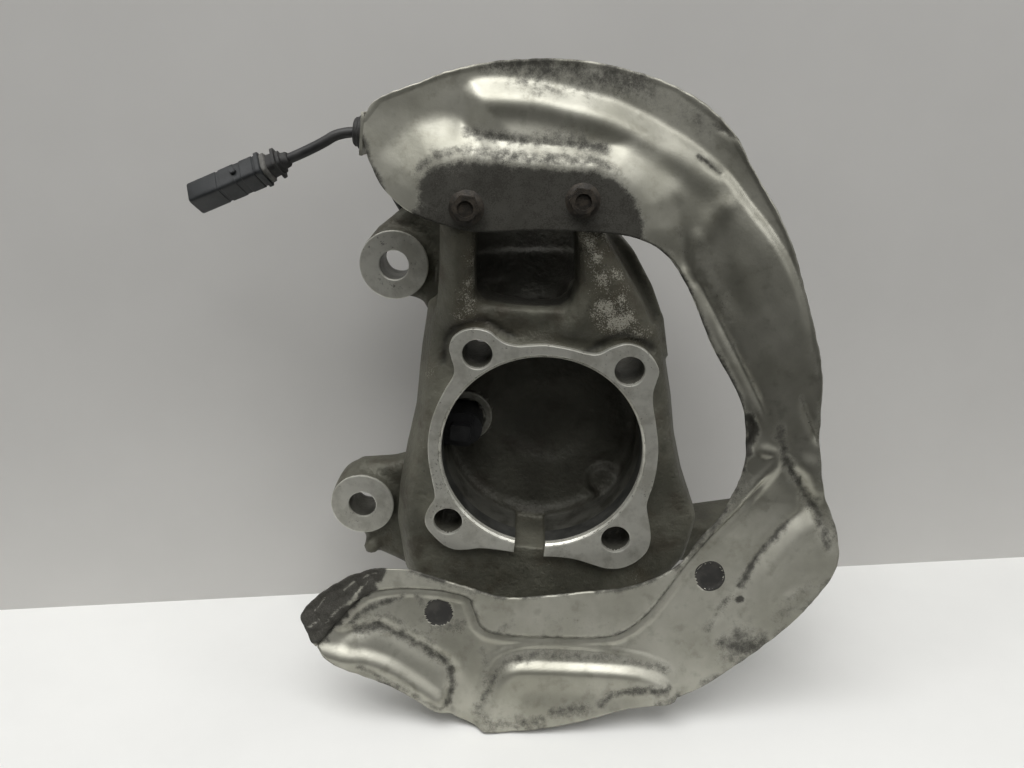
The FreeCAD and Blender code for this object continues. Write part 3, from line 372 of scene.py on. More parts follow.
def build(name, points, faces, material, slot, nodes=(), sharp=None, **attributes):
    """A piece from points in millimetres, faces as index rows and values for its points."""
    mesh = bpy.data.meshes.new(name)
    mesh.from_pydata((np.asarray(points, float) * MM).tolist(), [], np.asarray(faces).tolist())
    mesh.materials.append(material)
    mesh.shade_smooth()
    if sharp:
        mesh.set_sharp_from_angle(angle=math.radians(sharp))
    for key, values in attributes.items():
        layer = mesh.attributes.new(key, "FLOAT", "POINT")
        layer.data.foreach_set("value", np.asarray(values, np.float32).ravel())
    return add_piece(name, mesh, nodes)


def grid_faces(rows, columns, closed=False):
    """Quads of a grid of points, whose last column joins the first where it is closed."""
    index = np.arange(rows * columns).reshape(rows, columns)
    if closed:
        index = np.concatenate([index, index[:, :1]], axis=1)
    return np.stack([index[:-1, :-1], index[1:, :-1], index[1:, 1:], index[:-1, 1:]], axis=-1).reshape(-1, 4)


def turned(profile, count=64):
    """Lathe: profile rows (radius, height) carried round the local Z axis in count steps."""
    profile = np.array(profile, float)
    turn = np.linspace(0, 2 * math.pi, count, endpoint=False)
    radius, height = profile[:, :1], profile[:, 1:]
    points = np.stack([radius * np.cos(turn), radius * np.sin(turn), height + 0 * turn], axis=-1)
    return points.reshape(-1, 3), grid_faces(len(profile), count, True)[:, ::-1]


def carried(points, place, axis, roll=0.0):
    """Local points turned so that their Z lies on axis, with a roll about it, and moved to place."""
    away = Vector(axis).normalized()
    turn = away.to_track_quat("Z", "Y").to_matrix() @ Matrix.Rotation(roll, 3, "Z")
    return np.asarray(points) @ np.array(turn).T + np.asarray(place, float)


def ease(value, low, high):
    """Smooth rise from 0 at low to 1 at high."""
    share = np.clip((value - low) / (high - low), 0, 1)
    return share * share * (3 - 2 * share)


def slope(value, low, high, soft):
    """A straight ramp from 0 at low to 1 at high, rounded at both ends over soft to either side."""
    def bend(gap):
        return np.where(gap < -soft, 0, np.where(gap > soft, gap, (gap + soft) ** 2 / (4 * soft)))
    return (bend(value - low) - bend(value - high)) / (high - low)


def bead(gap, width):
    """A rounded bead across a line: 1 on it, falling off over its width."""
    return np.exp(-(gap / width) ** 2)


def disc(x, z, place, radius):
    """Distance to a round outline, negative inside."""
    return np.hypot(x - place[0], z - place[1]) - radius


def line_distance(x, z, line, closed=False):
    """Distance to a polyline and the side of it: positive to the left of the way it runs."""
    line = np.array(line, float)
    starts = line if closed else line[:-1]
    ends = np.roll(line, -1, axis=0) if closed else line[1:]
    shape = np.broadcast_shapes(np.shape(x), np.shape(z))
    best = np.full(shape, 1e6, np.float32)
    side = np.ones(shape, np.float32)
    for (ax, az), (bx, bz) in zip(starts, ends):
        dx, dz = bx - ax, bz - az
        share = np.clip(((x - ax) * dx + (z - az) * dz) / (dx * dx + dz * dz), 0, 1)
        gap = np.hypot(x - ax - share * dx, z - az - share * dz)
        cross = dx * (z - az) - dz * (x - ax)
        nearer = gap < best
        side = np.where(nearer, np.sign(cross), side)
        best = np.where(nearer, gap, best)
    return best, side


def line_bead(x, z, line, width):
    """A bead of a width along a polyline."""
    return bead(line_distance(x, z, line)[0], width)


def beside(x, z, line):
    """Signed distance to a polyline: positive to the left of the way it runs."""
    gap, side = line_distance(x, z, line)
    return gap * side


def inside_distance(x, z, corners):
    """Signed distance to a closed polygon, negative inside, by the even-odd rule."""
    gap, side = line_distance(x, z, corners, closed=True)
    corners = np.array(corners, float)
    inside = np.zeros(gap.shape, bool)
    for (ax, az), (bx, bz) in zip(corners, np.roll(corners, -1, axis=0)):
        if az != bz:
            crosses = ((az > z) != (bz > z)) & (x < (bx - ax) * (z - az) / (bz - az) + ax)
            inside = inside ^ crosses
    return np.where(inside, -gap, gap)


def ripple(x, z, size, seed):
    """Smooth pseudo-random waves of about the given size: a sum of sines with irrational pitches."""
    total = 0.0
    for k, (a, b) in enumerate(((1.0, 0.37), (-0.61, 1.13), (0.83, -0.94), (1.47, 0.71), (-1.21, -1.39))):
        total = total + np.sin((a * x + b * z) * 2 * math.pi / size + seed * (k + 1.3) * 2.17)
    return total / 5


# Camera: the photograph's viewing point, looking level with the bore and tipped down

PICTURE = (1024, 768)
TIP, SWING, ROLL = math.radians(18.8), math.radians(-1.2), math.radians(6.2)
FOCAL_PIXELS = 840.0
FILM_WIDTH = 36.0
CAMERA_OFFSET = np.array([13.6, -32.6, 0.0])
CAMERA_REACH = 385.5


def make_camera():
    """The camera: returns its place in millimetres and its turn, whose rows are its right, up and back."""
    level = Matrix(((math.cos(ROLL), 0, math.sin(ROLL)), (-math.sin(ROLL), 0, math.cos(ROLL)), (0, -1, 0)))
    turn = Matrix.Rotation(TIP, 3, "X") @ Matrix.Rotation(SWING, 3, "Y") @ level
    place = np.array(turn).T @ (np.array([0, 0, CAMERA_REACH]) - CAMERA_OFFSET)
    camera = add_object("camera", bpy.data.cameras.new("camera"))
    camera.data.sensor_width = FILM_WIDTH
    camera.data.lens = FOCAL_PIXELS / PICTURE[0] * FILM_WIDTH
    camera.matrix_world = Matrix.Translation(Vector(place * MM)) @ turn.transposed().to_4x4()
    bpy.context.scene.camera = camera
    return place, np.array(turn)


EYE, VIEW = make_camera()


def through_pixel(u, v, point, normal):
    """Where the camera's ray through a pixel of the photograph meets a plane."""
    across, down = u - PICTURE[0] / 2, v - PICTURE[1] / 2
    ray = VIEW.T @ np.array([across / FOCAL_PIXELS, -down / FOCAL_PIXELS, -1.0])
    reach = np.dot(np.asarray(point) - EYE, normal) / np.dot(ray, normal)
    return EYE + reach * ray


# Floor and wall: the floor is square to the photograph's upright, through the shield's lowest edge.
# Its front part is seen by the camera only, so that the metal mirrors a dark room in front of it.
# The wall is clear from behind.

UP = np.array([-math.sin(ROLL), 0.0, math.cos(ROLL)])
FLOOR_POINT = np.array([-6.0, -24.0, -135.3])
CORNER_PIXELS = ((0, 610), (1024, 557))
STAGE_REACH = 2500.0
FRONT_PIXEL = (512, 800)
FRONT_MARGIN = 40.0
FLOOR_COLOUR, WALL_COLOUR = (0.84, 0.84, 0.82), (0.58, 0.57, 0.55)


def backdrop(name, corners, colour, roughness, clear_to=None):
    """A large flat sheet of the stage, clear from the back or to the light where clear_to says so."""
    mesh = bpy.data.meshes.new(name)
    mesh.from_pydata([tuple(np.asarray(corner) * MM) for corner in corners], [], [(0, 1, 2, 3)])
    finish = Finish(name, 0.0, roughness)
    finish.tones(ramp(finish.mottle(220.0, 1.0), 0.3, 0.7), colour, tuple(0.93 * part for part in colour))
    finish.put("Specular IOR Level", 0.2)
    if clear_to == "back":
        finish.put("Alpha", 1.0 - node(finish.tree, "ShaderNodeNewGeometry", output="Backfacing"))
    elif clear_to == "light":
        finish.put("Alpha", node(finish.tree, "ShaderNodeLightPath", output="Is Camera Ray"))
    mesh.materials.append(finish.material)
    item = add_object(name, mesh)


def make_stage():
    """The floor in two parts and the wall, which meet along the line through the two corner pixels."""
    left, right = [through_pixel(u, v, FLOOR_POINT, UP) for u, v in CORNER_PIXELS]
    along = (right - left) / np.linalg.norm(right - left)
    front = np.cross(along, UP)
    if front[1] > 0:
        front = -front
    middle = (left + right) / 2
    reach = np.dot(through_pixel(*FRONT_PIXEL, FLOOR_POINT, UP) - middle, front) + FRONT_MARGIN
    a, b = middle - along * STAGE_REACH, middle + along * STAGE_REACH
    near, far, top = front * reach, front * STAGE_REACH, UP * STAGE_REACH
    backdrop("floor", [a + near, b + near, b, a], FLOOR_COLOUR, 0.6)
    backdrop("floor_front", [a + far, b + far, b + near, a + near], FLOOR_COLOUR, 0.6, "light")
    backdrop("wall", [a, b, b + top, a + top], WALL_COLOUR, 0.7, "back")


make_stage()


# Lights: a broad soft lamp overhead, a weak lamp from the right and a surround that is dark low down

LAMP_TARGET = Vector((0, 0, 0.05))


def area_light(name, place, size, power):
    """A rectangular lamp that points at the part."""
    data = bpy.data.lights.new(name, "AREA")
    data.shape = "RECTANGLE"
    data.size, data.size_y = size
    data.energy = power
    light = add_object(name, data)
    light.location = Vector(place)
    light.rotation_euler = (LAMP_TARGET - Vector(place)).to_track_quat("-Z", "Y").to_euler()


def make_lights():
    """The two lamps and the surround."""
    area_light("overhead", (-0.35, -0.6, 1.35), (1.8, 0.9), 24.0)
    area_light("right_fill", (1.1, -0.75, 0.85), (0.7, 0.5), 2.2)
    world = bpy.data.worlds.new("surround")
    world.use_nodes = True
    tree = world.node_tree
    way = node(tree, "ShaderNodeTexCoord", output="Generated")
    upward = node(tree, "ShaderNodeSeparateXYZ", {0: way}, "Z")
    tone = mix_colours(ramp(upward, -0.25, 0.9), (0.022, 0.022, 0.020), (0.42, 0.42, 0.41))
    feed(tree, tree.nodes["Background"].inputs["Color"], tone)
    bpy.context.scene.world = world
    bpy.context.scene.view_settings.view_transform = "Standard"


make_lights()


# Knuckle: a signed distance field of rounded solids, melted together as a casting is, then cut

STEP = 1.5
LOW = np.array([-104.0, -13.0, -112.0])
HIGH = np.array([140.0, 97.0, 162.0])


def field_axes():
    """Grid positions along X, Y and Z, shaped to broadcast against each other."""
    axes = [np.arange(low, high + STEP, STEP, dtype=np.float32) for low, high in zip(LOW, HIGH)]
    return axes[0][:, None, None], axes[1][None, :, None], axes[2][None, None, :]


def span(value, low, high):
    """Distance to a range of values, negative within it."""
    return np.maximum(low - value, value - high)


def rounded(flat, depth, radius):
    """A flat outline's distance and a depth's distance joined as a slab with rounded edges."""
    a, b = flat + radius, depth + radius
    return np.minimum(np.maximum(a, b), 0) + np.hypot(np.maximum(a, 0), np.maximum(b, 0)) - radius


def melt(a, b, radius):
    """Union with a fillet of about the given radius: the smaller distance, less a bulge near both."""
    share = np.clip(0.5 + 0.5 * (b - a) / radius, 0, 1)
    return b + (a - b) * share - radius * share * (1 - share)


def cut(a, b, radius):
    """Takes b out of a with an edge rounded by the radius."""
    return -melt(-a, b, radius)


def bar(x, y, z, foot, axis, radius, length, rounding):
    """A round bar from its foot along an axis."""
    axis = np.array(axis, float) / np.linalg.norm(axis)
    dx, dy, dz = x - foot[0], y - foot[1], z - foot[2]
    along = dx * axis[0] + dy * axis[1] + dz * axis[2]
    off = np.sqrt(np.maximum(dx * dx + dy * dy + dz * dz - along * along, 0))
    return rounded(off - radius, span(along, 0, length), rounding)


# The milled seat's outer edge, from the drain notch round to it again
SEAT_EDGE = [
    (-7.25, -52.0), (-14.5, -51.6), (-23.3, -51.8), (-30.3, -53.4), (-35.5, -53.9), (-40.6, -52.3),
    (-45.6, -48.4), (-49.6, -43.9), (-51.0, -39.2), (-49.7, -34.1), (-47.6, -29.6), (-47.4, -25.5),
    (-49.2, -18.6), (-51.5, -9.4), (-52.5, -0.2), (-52.0, 9.0), (-50.1, 17.3), (-46.9, 26.0), (-43.9, 32.5),
    (-43.6, 36.8), (-45.3, 41.6), (-46.6, 46.2), (-45.4, 50.8), (-41.3, 54.6), (-35.8, 56.2), (-29.8, 55.4),
    (-25.6, 52.8), (-21.6, 50.9), (-16.0, 50.4), (-10.4, 51.4), (-3.2, 52.3), (6.8, 51.6), (14.0, 50.5),
    (19.4, 50.9), (25.1, 54.6), (31.3, 56.9), (37.9, 55.6), (43.4, 51.4), (46.8, 46.2), (46.5, 40.9),
    (45.9, 35.6), (47.0, 29.0), (49.5, 21.0), (52.3, 10.6), (53.4, 0.6), (53.2, -8.3), (52.2, -15.2),
    (51.9, -20.1), (53.3, -25.2), (55.4, -31.8), (56.6, -38.1), (55.6, -44.4), (51.4, -50.2), (45.2, -54.3),
    (37.9, -55.4), (30.5, -54.0), (22.5, -52.3), (14.1, -52.1), (7.25, -52.6),
]


def curve_through(points, stops):
    """Smooth curve through points at index positions: Catmull-Rom cubics over each span."""
    points = np.array(points, float)
    padded = np.concatenate([[2 * points[0] - points[1]], points, [2 * points[-1] - points[-2]]])
    span_index = np.clip(np.floor(stops).astype(int), 0, len(points) - 2)
    share = (stops - span_index)[:, None]
    a, b, c, d = (padded[span_index + k] for k in range(4))
    return 0.5 * (2 * b + (c - a) * share + (2 * a - 5 * b + 4 * c - d) * share ** 2
                  + (3 * b - a - 3 * c + d) * share ** 3)


def seat_edge(count):
    """The seat's outer edge from the notch's left side round to its right side."""
    return curve_through(SEAT_EDGE, np.linspace(0, len(SEAT_EDGE) - 1, count))


def seat_distance(x, z):
    """Signed distance to the seat's outline, negative inside."""
    return inside_distance(x, z, seat_edge(150))


# Outlines of the casting's parts in the XZ plane, and of the steering arm in the XY plane
PLATE = [
    (-59, 62), (-60.5, 40), (-61, 12), (-64, -10), (-66, -30), (-66, -50), (-60, -77), (-48, -86),
    (-30, -91), (-5, -92.5), (16, -92), (38, -84), (56, -72), (68, -58), (74, -48), (77, -26), (68, -6),
    (61.5, 12), (57, 30), (52, 46), (45.5, 67), (30, 70), (-50, 68),
]
UPPER_WEB = [
    (-92, 69.2), (-92, 76), (-86, 90), (-54.5, 121), (-20, 122), (-20, 30), (-52.5, 30), (-57, 40),
    (-59, 52), (-63, 58), (-71.5, 60.7),
]
LOWER_WEB = [
    (-99.7, -45.7), (-96, -36), (-88.7, -29.2), (-72, -26), (-64.5, -23), (-60.5, -8), (-56.5, 8), (-20, 8),
    (-20, -88), (-54, -87), (-65.5, -81.5), (-73.5, -78.5), (-79.4, -76), (-83, -70), (-88, -64.5),
    (-96, -59),
]
LEFT_LEG = [
    (-53.5, 118), (-55, 100), (-54, 80), (-54, 50), (-28, 50), (-34, 66), (-38.5, 78), (-37.5, 98),
    (-35, 118),
]
RIGHT_LEG = [
    (-6.5, 126), (-6.5, 114), (3.5, 100), (6.5, 80), (0, 66), (-6, 52), (46, 52), (44, 64), (36, 76),
    (25, 90), (16, 102), (11.5, 112), (11.5, 126),
]
SHOULDER = [(8, 112), (20, 104), (30, 95), (40, 81), (47, 68), (52, 50), (20, 46), (8, 70)]
ARM = [
    (113, 66.5), (128, 64), (135.5, 56), (134, 42), (123, 33.5), (100, 28.5), (80, 24), (58, 16), (20, 20),
    (20, 43), (62, 43), (84, 52),
]
WINDOW = [(-37.5, 69), (-34, 66.8), (0, 68.2), (4.5, 71), (5.5, 80), (1.5, 106), (-40, 106), (-39, 80)]
# Ribs at the back: angle and reach
RIBS = ((-18, 74), (-60, 84), (-118, 84), (32, 60))
# Middle lines of the pale grains on the legs
LEFT_GRAINS = ((-40, 112), (-39, 84), (-41, 62))
RIGHT_GRAINS = ((8, 116), (16, 88), (24, 70), (38, 56))
# Hollows along the legs' edges: line, depth and width
LEG_GROOVES = (
    ([(14, 110), (18, 102), (27.3, 91.9), (37.4, 77.1), (43.0, 68)], 2.0, 2.2),
    ([(15, 51), (17.3, 52.6), (23, 58.5), (29.2, 61.3), (36.9, 58.9), (42.5, 55)], 1.6, 1.5),
    ([(-48.6, 38), (-48.6, 48.7), (-45, 55), (-40.4, 58.2), (-34.9, 60), (-29.9, 59.2), (-24.7, 56),
      (-18.7, 53.4)], 1.4, 1.4),
    ([(-36, 58), (-33, 66)], -1.0, 3.0),
)


def casting_field():
    """The melted blanks of the casting, before any machining."""
    x, y, z = field_axes()
    # The plate narrows towards its face, as drafted castings do, but little at the lower right
    upright = ease(x, 10, 52) * (0.45 + 0.55 * ease(-z, 0, 40))
    drawn_in = 0.42 * np.clip(PLATE_BACK - y, 0, PLATE_BACK - RING_HEIGHT) * (1 - upright) - 1.5
    body = rounded(inside_distance(x, z, PLATE) + drawn_in, span(y, RING_HEIGHT, PLATE_BACK), 4.5)
    body = melt(body, rounded(disc(x, z, (0, 0), DRUM), span(y, RING_HEIGHT, DRUM_BACK), 3.0), 4.0)
    for hole in HUB_HOLES:
        body = melt(body, rounded(disc(x, z, hole, LUG), span(y, RING_HEIGHT, LUG_BACK), 2.0), 5.0)
    for outline in (UPPER_WEB, LOWER_WEB):
        body = melt(body, rounded(inside_distance(x, z, outline), span(y, *WEB_DEPTHS), 5.0), 6.0)
    body = melt(body, bar(x, y, z, CLAMP_FOOT, CLAMP_LEAN, CLAMP, CLAMP_LENGTH, 3.0), 7.0)
    leg_face = np.interp(z, (46.0, 60.0, 97.0), (4.0, -1.0, PAD_FACE + 0.2))
    for outline in (LEFT_LEG, RIGHT_LEG):
        flat = inside_distance(x, z, outline)
        crown = leg_face + 5.0 * (1 - ease(-flat, -1.0, 9.0)) * (1 - ease(z, 96, 104))
        body = melt(body, rounded(flat, span(y, crown, 26.0), 4.0), 3.5)
    body = melt(body, rounded(inside_distance(x, z, SHOULDER), span(y, 9.0, 30.0), 5.0), 3.0)
    body = melt(body, rounded(inside_distance(x, y, ARM), span(z, *ARM_HEIGHTS), 5.0), 8.0)
    body = melt(body, rounded(disc(x, y, BALL_JOINT, BALL_BOSS), span(z, *BALL_HEIGHTS), 3.0), 8.0)
    for turn, reach in RIBS:
        c, s = math.cos(math.radians(turn)), math.sin(math.radians(turn))
        rib = np.maximum(np.abs(-x * s + z * c) - 4.5, span(x * c + z * s, 48.0, reach))
        body = melt(body, rounded(rib, span(y, 20.0, 36.0), 2.0), 5.0)
    lug = rounded(disc(y, z, PINCH_BOLT, PINCH_LUG), span(x, *PINCH_WIDTH), 2.0)
    neck = rounded(np.maximum(span(y, 58.0, 79.0), span(z, 104.0, 136.0)), span(x, *PINCH_WIDTH), 2.0)
    body = melt(body, np.minimum(lug, neck), 3.0)
    for ear in EARS:
        body = melt(body, rounded(disc(x, z, ear, EAR_RADIUS), span(y, EAR_FACE, EAR_BACK), 1.0), 3.0)
    body = melt(body, rounded(disc(x, z, (-79.5, -73.5), 3.6), span(y, 26.0, 42.0), 1.5), 3.0)
    body = melt(body, rounded(disc(x, z, (-25.0, -84.5), 2.6), span(y, 2.6, 8.0), 0.8), 1.5)
    for line, depth, width in LEG_GROOVES:
        body = body + depth * line_bead(x, z, line, width) * (y < 24.0)
    return x, y, z, body


def drilled(body, flat, depth, edge):
    """Takes a straight-sided shape out of the body, down a range of depths."""
    return cut(body, np.maximum(flat, depth), edge)


def machined_field(x, y, z, body):
    """Cuts the seat, the cup, the holes, the strut socket and its window out of the casting."""
    seat = seat_distance(x, z)
    body = drilled(body, seat - 2.4, span(y, -30.0, 2.2), 1.0)
    body = melt(body, rounded(seat + 0.75, span(y, 0.35, RING_HEIGHT + 2.0), 0.5), 1.2)
    low_part = 1.6 * ease(-x - z * 0.12, 18.0, 24.0)
    round_boss = 4.0 * ease(-np.hypot(x - 35.0, z + 25.5), -9.5, -6.0)
    hollow = 2.0 * ease(-np.hypot(x - 4.0, z - 2.0), -24.0, -14.0)
    floor = BORE_DEPTH - low_part - round_boss + hollow
    body = cut(body, rounded(disc(x, z, (0, 0), CUP), span(y, -30.0, floor), 5.0), 0.3)
    for hole in HUB_HOLES:
        body = drilled(body, disc(x, z, hole, HUB_HOLE), span(y, -20.0, 60.0), 0.6)
    for ear in EARS:
        body = drilled(body, disc(x, z, ear, EAR_HOLE), span(y, 0.0, 80.0), 0.8)
    across_notch = np.abs(x) - NOTCH / 2
    body = drilled(body, np.maximum(across_notch, span(z, -60.0, -40.0)), span(y, -20.0, NOTCH_DEPTH), 0.3)
    groove = rounded(np.maximum(across_notch, span(z, -50.0, -43.0)), span(y, -5.0, 34.0), 1.0)
    body = cut(body, groove, 0.6)
    socket = bar(x, y, z, CLAMP_FOOT + 25.0 * CLAMP_LEAN, CLAMP_LEAN, STRUT, 120.0, 0.5)
    body = cut(body, socket, 0.6)
    body = cut(body, bar(x, y, z, CLAMP_FOOT + 10.5 * CLAMP_LEAN, CLAMP_LEAN, STRUT - 2.0, 30.0, 2.0), 1.0)
    body = drilled(body, inside_distance(x, z, WINDOW), span(y, -20.0, 34.0), 2.5)
    body = cut(body, bar(x, y, z, (-14, 41, 55), (0, 0, 1), 19.0, 36.0, 14.0), 1.0)
    slot = np.maximum(np.abs(x + 23.0 + (z - 122.0) * 0.1) - 2.5, span(z, 102.0, 170.0))
    body = drilled(body, slot, span(y, 58.0, 120.0), 0.5)
    body = drilled(body, disc(y, z, PINCH_BOLT, PINCH_HOLE), span(x, -80.0, 60.0), 0.6)
    body = melt(body, rounded(disc(x, z, SENSOR, SENSOR_BOSS), span(y, BOSS_FACE, 54.0), 0.8), 1.5)
    foot = disc(x, z, (SENSOR[0], SENSOR[1] - 20.0), 8.0)
    body = melt(body, rounded(foot, span(y, BORE_DEPTH + 1.0, 54.0), 1.0), 3.0)
    recess = np.maximum(span(x, *RECESS), np.abs(z + 0.5) - RECESS_HALF)
    body = cut(body, rounded(recess, span(y, 12.0, BOSS_FACE), 2.0), 0.8)
    body = drilled(body, disc(x, z, SENSOR, SENSOR_HOLE), span(y, BORE_DEPTH + 1.5, 70.0), 0.5)
    body = drilled(body, recess, span(y, 30.0, BORE_DEPTH + 2.0), 0.5)
    body = drilled(body, disc(x, y, BALL_JOINT, BALL_HOLE), span(z, -120.0, -82.0), 0.8)
    body = drilled(body, disc(x, y, ARM_END, ARM_HOLE), span(z, -70.0, -30.0), 0.8)
    for bolt in SHIELD_BOLTS:
        body = drilled(body, disc(x, z, bolt, BOLT_HOLE), span(y, -20.0, 9.5), 0.3)
    return body


def surface_net(field, low, step):
    """The zero surface of a field: one point in each cell that it crosses, at the mean of the cell's edge
    crossings, and one quad round each grid edge whose ends lie on opposite sides."""
    solid = field < 0
    shape = np.array(field.shape) - 1
    corners = sum(solid[i:shape[0] + i, j:shape[1] + j, k:shape[2] + k].astype(np.int8)
                  for i in (0, 1) for j in (0, 1) for k in (0, 1))
    mixed = (corners > 0) & (corners < 8)
    index = np.full(mixed.shape, -1)
    index[mixed] = np.arange(mixed.sum())
    cells = np.argwhere(mixed)
    total, count = np.zeros((len(cells), 3)), np.zeros((len(cells), 1))
    quads = []
    for axis in range(3):
        first, second = [other for other in range(3) if other != axis]
        for a in (0, 1):
            for b in (0, 1):
                start = cells.copy()
                start[:, first] += a
                start[:, second] += b
                end = start.copy()
                end[:, axis] += 1
                near, far = field[tuple(start.T)], field[tuple(end.T)]
                crossed = (near < 0) != (far < 0)
                place = start.astype(float)
                place[crossed, axis] += near[crossed] / (near[crossed] - far[crossed])
                total[crossed] += place[crossed]
                count[crossed] += 1
        lower = np.take(solid, range(0, field.shape[axis] - 1), axis)
        upper = np.take(solid, range(1, field.shape[axis]), axis)
        edges = np.argwhere(lower != upper)
        cell = edges[:, [first, second]]
        edges = edges[np.all((cell > 0) & (cell < shape[[first, second]]), axis=1)]
        ring = []
        for a, b in ((-1, -1), (0, -1), (0, 0), (-1, 0)):
            corner = edges.copy()
            corner[:, first] += a
            corner[:, second] += b
            ring.append(index[tuple(corner.T)])
        quad = np.stack(ring, axis=1)
        flip = lower[tuple(edges.T)] == (axis == 1)
        quad[flip] = quad[flip][:, ::-1]
        quads.append(quad)
    return low + step * total / count, np.concatenate(quads)


def settle(value, target, reach):
    """Moves values within reach of a target onto it."""
    return np.where(np.abs(value - target) < reach, target, value)


def casting_points():
    """Points and faces of the casting, with the points near turned walls and milled ears moved onto them."""
    points, quads = surface_net(machined_field(*casting_field()), LOW, STEP)
    px, py, pz = points.T.copy()
    reach = STEP * 0.6
    for (cx, cz), radius, low, high in (
        [((0, 0), CUP, 0.5, BORE_DEPTH - 7)]
        + [(place, HUB_HOLE, 1.5, 37.0) for place in HUB_HOLES]
        + [(place, EAR_HOLE, EAR_FACE + 1.5, EAR_BACK - 1) for place in EARS]
    ):
        off = np.hypot(px - cx, pz - cz)
        near = (np.abs(off - radius) < reach) & (py > low) & (py < high)
        grow = np.where(near, radius / np.maximum(off, 0.1), 1.0)
        px, pz = cx + (px - cx) * grow, cz + (pz - cz) * grow
    for ear in EARS:
        for face in (EAR_FACE, EAR_BACK):
            py = np.where(disc(px, pz, ear, EAR_RADIUS - 1.0) < 0, settle(py, face, reach), py)
    return px, py, pz, quads


def make_casting():
    """The casting, with its machined, speckled and shaded places painted on its points."""
    px, py, pz, quads = casting_points()
    off = np.hypot(px, pz)
    depths = ease(py, 0.0, 1.0) * (1 - ease(py, 29.0, 33.0))
    machined = 0.75 * (1 - ease(np.abs(off - CUP), 0.4, 2.0)) * depths
    for ear in EARS:
        from_centre = disc(px, pz, ear, 0)
        machined = np.maximum(machined, (from_centre < EAR_RADIUS - 0.5) & (np.abs(py - EAR_FACE) < 0.8))
        machined = np.maximum(machined, ((from_centre < EAR_HOLE + 0.6) & (py > EAR_FACE)) * 0.8)
    for hole in HUB_HOLES:
        machined = np.maximum(machined, (disc(px, pz, hole, HUB_HOLE + 0.6) < 0) * 0.4)
    legs = np.maximum(line_bead(px, pz, LEFT_GRAINS, 6.0), line_bead(px, pz, RIGHT_GRAINS, 10.0))
    legs = legs * ease(pz, 50, 62)
    specks = legs * (0.75 + 0.5 * ripple(px, pz, 13.0, 2.0)) * ease(-py, -14, -4)
    specks = np.clip(specks + 0.35 * ease(-py, -16, -8) * ease(ripple(px, pz, 46.0, 1.0), 0.2, 0.6), 0, 1)
    # Painted shade: inside the strut socket except on the rim of the hole in its floor, which so reads as
    # lit; in the cup; low on the front of the body; and along the hollows by the legs and lugs.
    inside = np.hypot(px + 14 + 0.13 * (pz - 60), py - 34 - 0.087 * (pz - 60)) < STRUT + 1.5
    rim = bead(np.hypot(px + 14, py - 41) - 19.5, 1.6) * bead(pz - 70.5, 4.0) * (py < 44)
    shade = np.where(inside & (pz > 54), 0.8, 0.0) * (1 - rim)
    shade = np.maximum(shade, 0.62 * (off < CUP + 1) * ease(py, 12.0, 22.0))
    shade = np.maximum(shade, 0.7 * ease(-pz, 78, 90) * ease(-py, -30, -6))
    for groove, amount, width in ((1, 0.75, 1.9), (2, 0.7, 1.4), (0, 0.5, 2.0)):
        shade = np.maximum(shade, amount * line_bead(px, pz, LEG_GROOVES[groove][0], width) * (py < 20))
    boss = np.hypot(px - SENSOR[0], pz - SENSOR[1] - 1.0)
    ring = (boss > 9.4) & (boss < 13.2) & (np.abs(py - BOSS_FACE) < 1.0) & (px > SENSOR[0])
    build("knuckle_casting", np.stack([px, py, pz], axis=1), quads, CAST, "cast_aluminium", ["knuckle"],
          machined=np.where(ring, 0.9, machined), specks=specks, shade=np.where(ring, 0.0, shade))


make_casting()


# Machined faces with crisp chamfers: the seat ring and the two ears

def ring_of(place, radius, count=72):
    """Evenly spaced points round a circle."""
    turn = np.linspace(0, 2 * math.pi, count, endpoint=False)
    return np.stack([place[0] + radius * np.cos(turn), place[1] + radius * np.sin(turn)], axis=1)


def flat_piece(name, loops, front, back, chamfer=0.45):
    """A milled plate in the XZ plane between two depths, filled between loops, with bevelled edges."""
    curve = bpy.data.curves.new(name, "CURVE")
    curve.dimensions = "2D"
    curve.fill_mode = "BOTH"
    curve.extrude = ((back - front) / 2 - chamfer) * MM
    curve.bevel_depth = chamfer * MM
    curve.bevel_resolution = 1
    curve.offset = -chamfer * MM
    for loop in loops:
        spline = curve.splines.new("POLY")
        spline.points.add(len(loop) - 1)
        flat = np.column_stack([loop * MM, np.zeros(len(loop)), np.ones(len(loop))])
        spline.points.foreach_set("co", flat.ravel())
        spline.use_cyclic_u = True
    drawn = add_object(name + "_curve", curve)
    mesh = bpy.data.meshes.new_from_object(drawn)
    bpy.data.objects.remove(drawn)
    mesh.transform(Matrix(((1, 0, 0, 0), (0, 0, -1, (front + back) / 2 * MM), (0, 1, 0, 0), (0, 0, 0, 1))))
    mesh.materials.clear()
    mesh.materials.append(MACHINED)
    mesh.shade_smooth()
    mesh.set_sharp_from_angle(angle=math.radians(25))
    add_piece(name, mesh)


def make_seat_face():
    """The milled ring: outer edge and bore edge joined at the drain notch into one loop, and four holes."""
    inner_radius = BORE + 1.1
    start = math.asin(NOTCH / 2 / inner_radius) - math.pi / 2
    turn = np.linspace(start, start + 2 * math.pi - 2 * (start + math.pi / 2), 240)
    inner = inner_radius * np.stack([np.cos(turn), np.sin(turn)], axis=1)
    holes = [ring_of(hole, HUB_HOLE) for hole in HUB_HOLES]
    flat_piece("seat_face", [np.concatenate([seat_edge(420), inner])] + holes, 0.0, NOTCH_DEPTH)


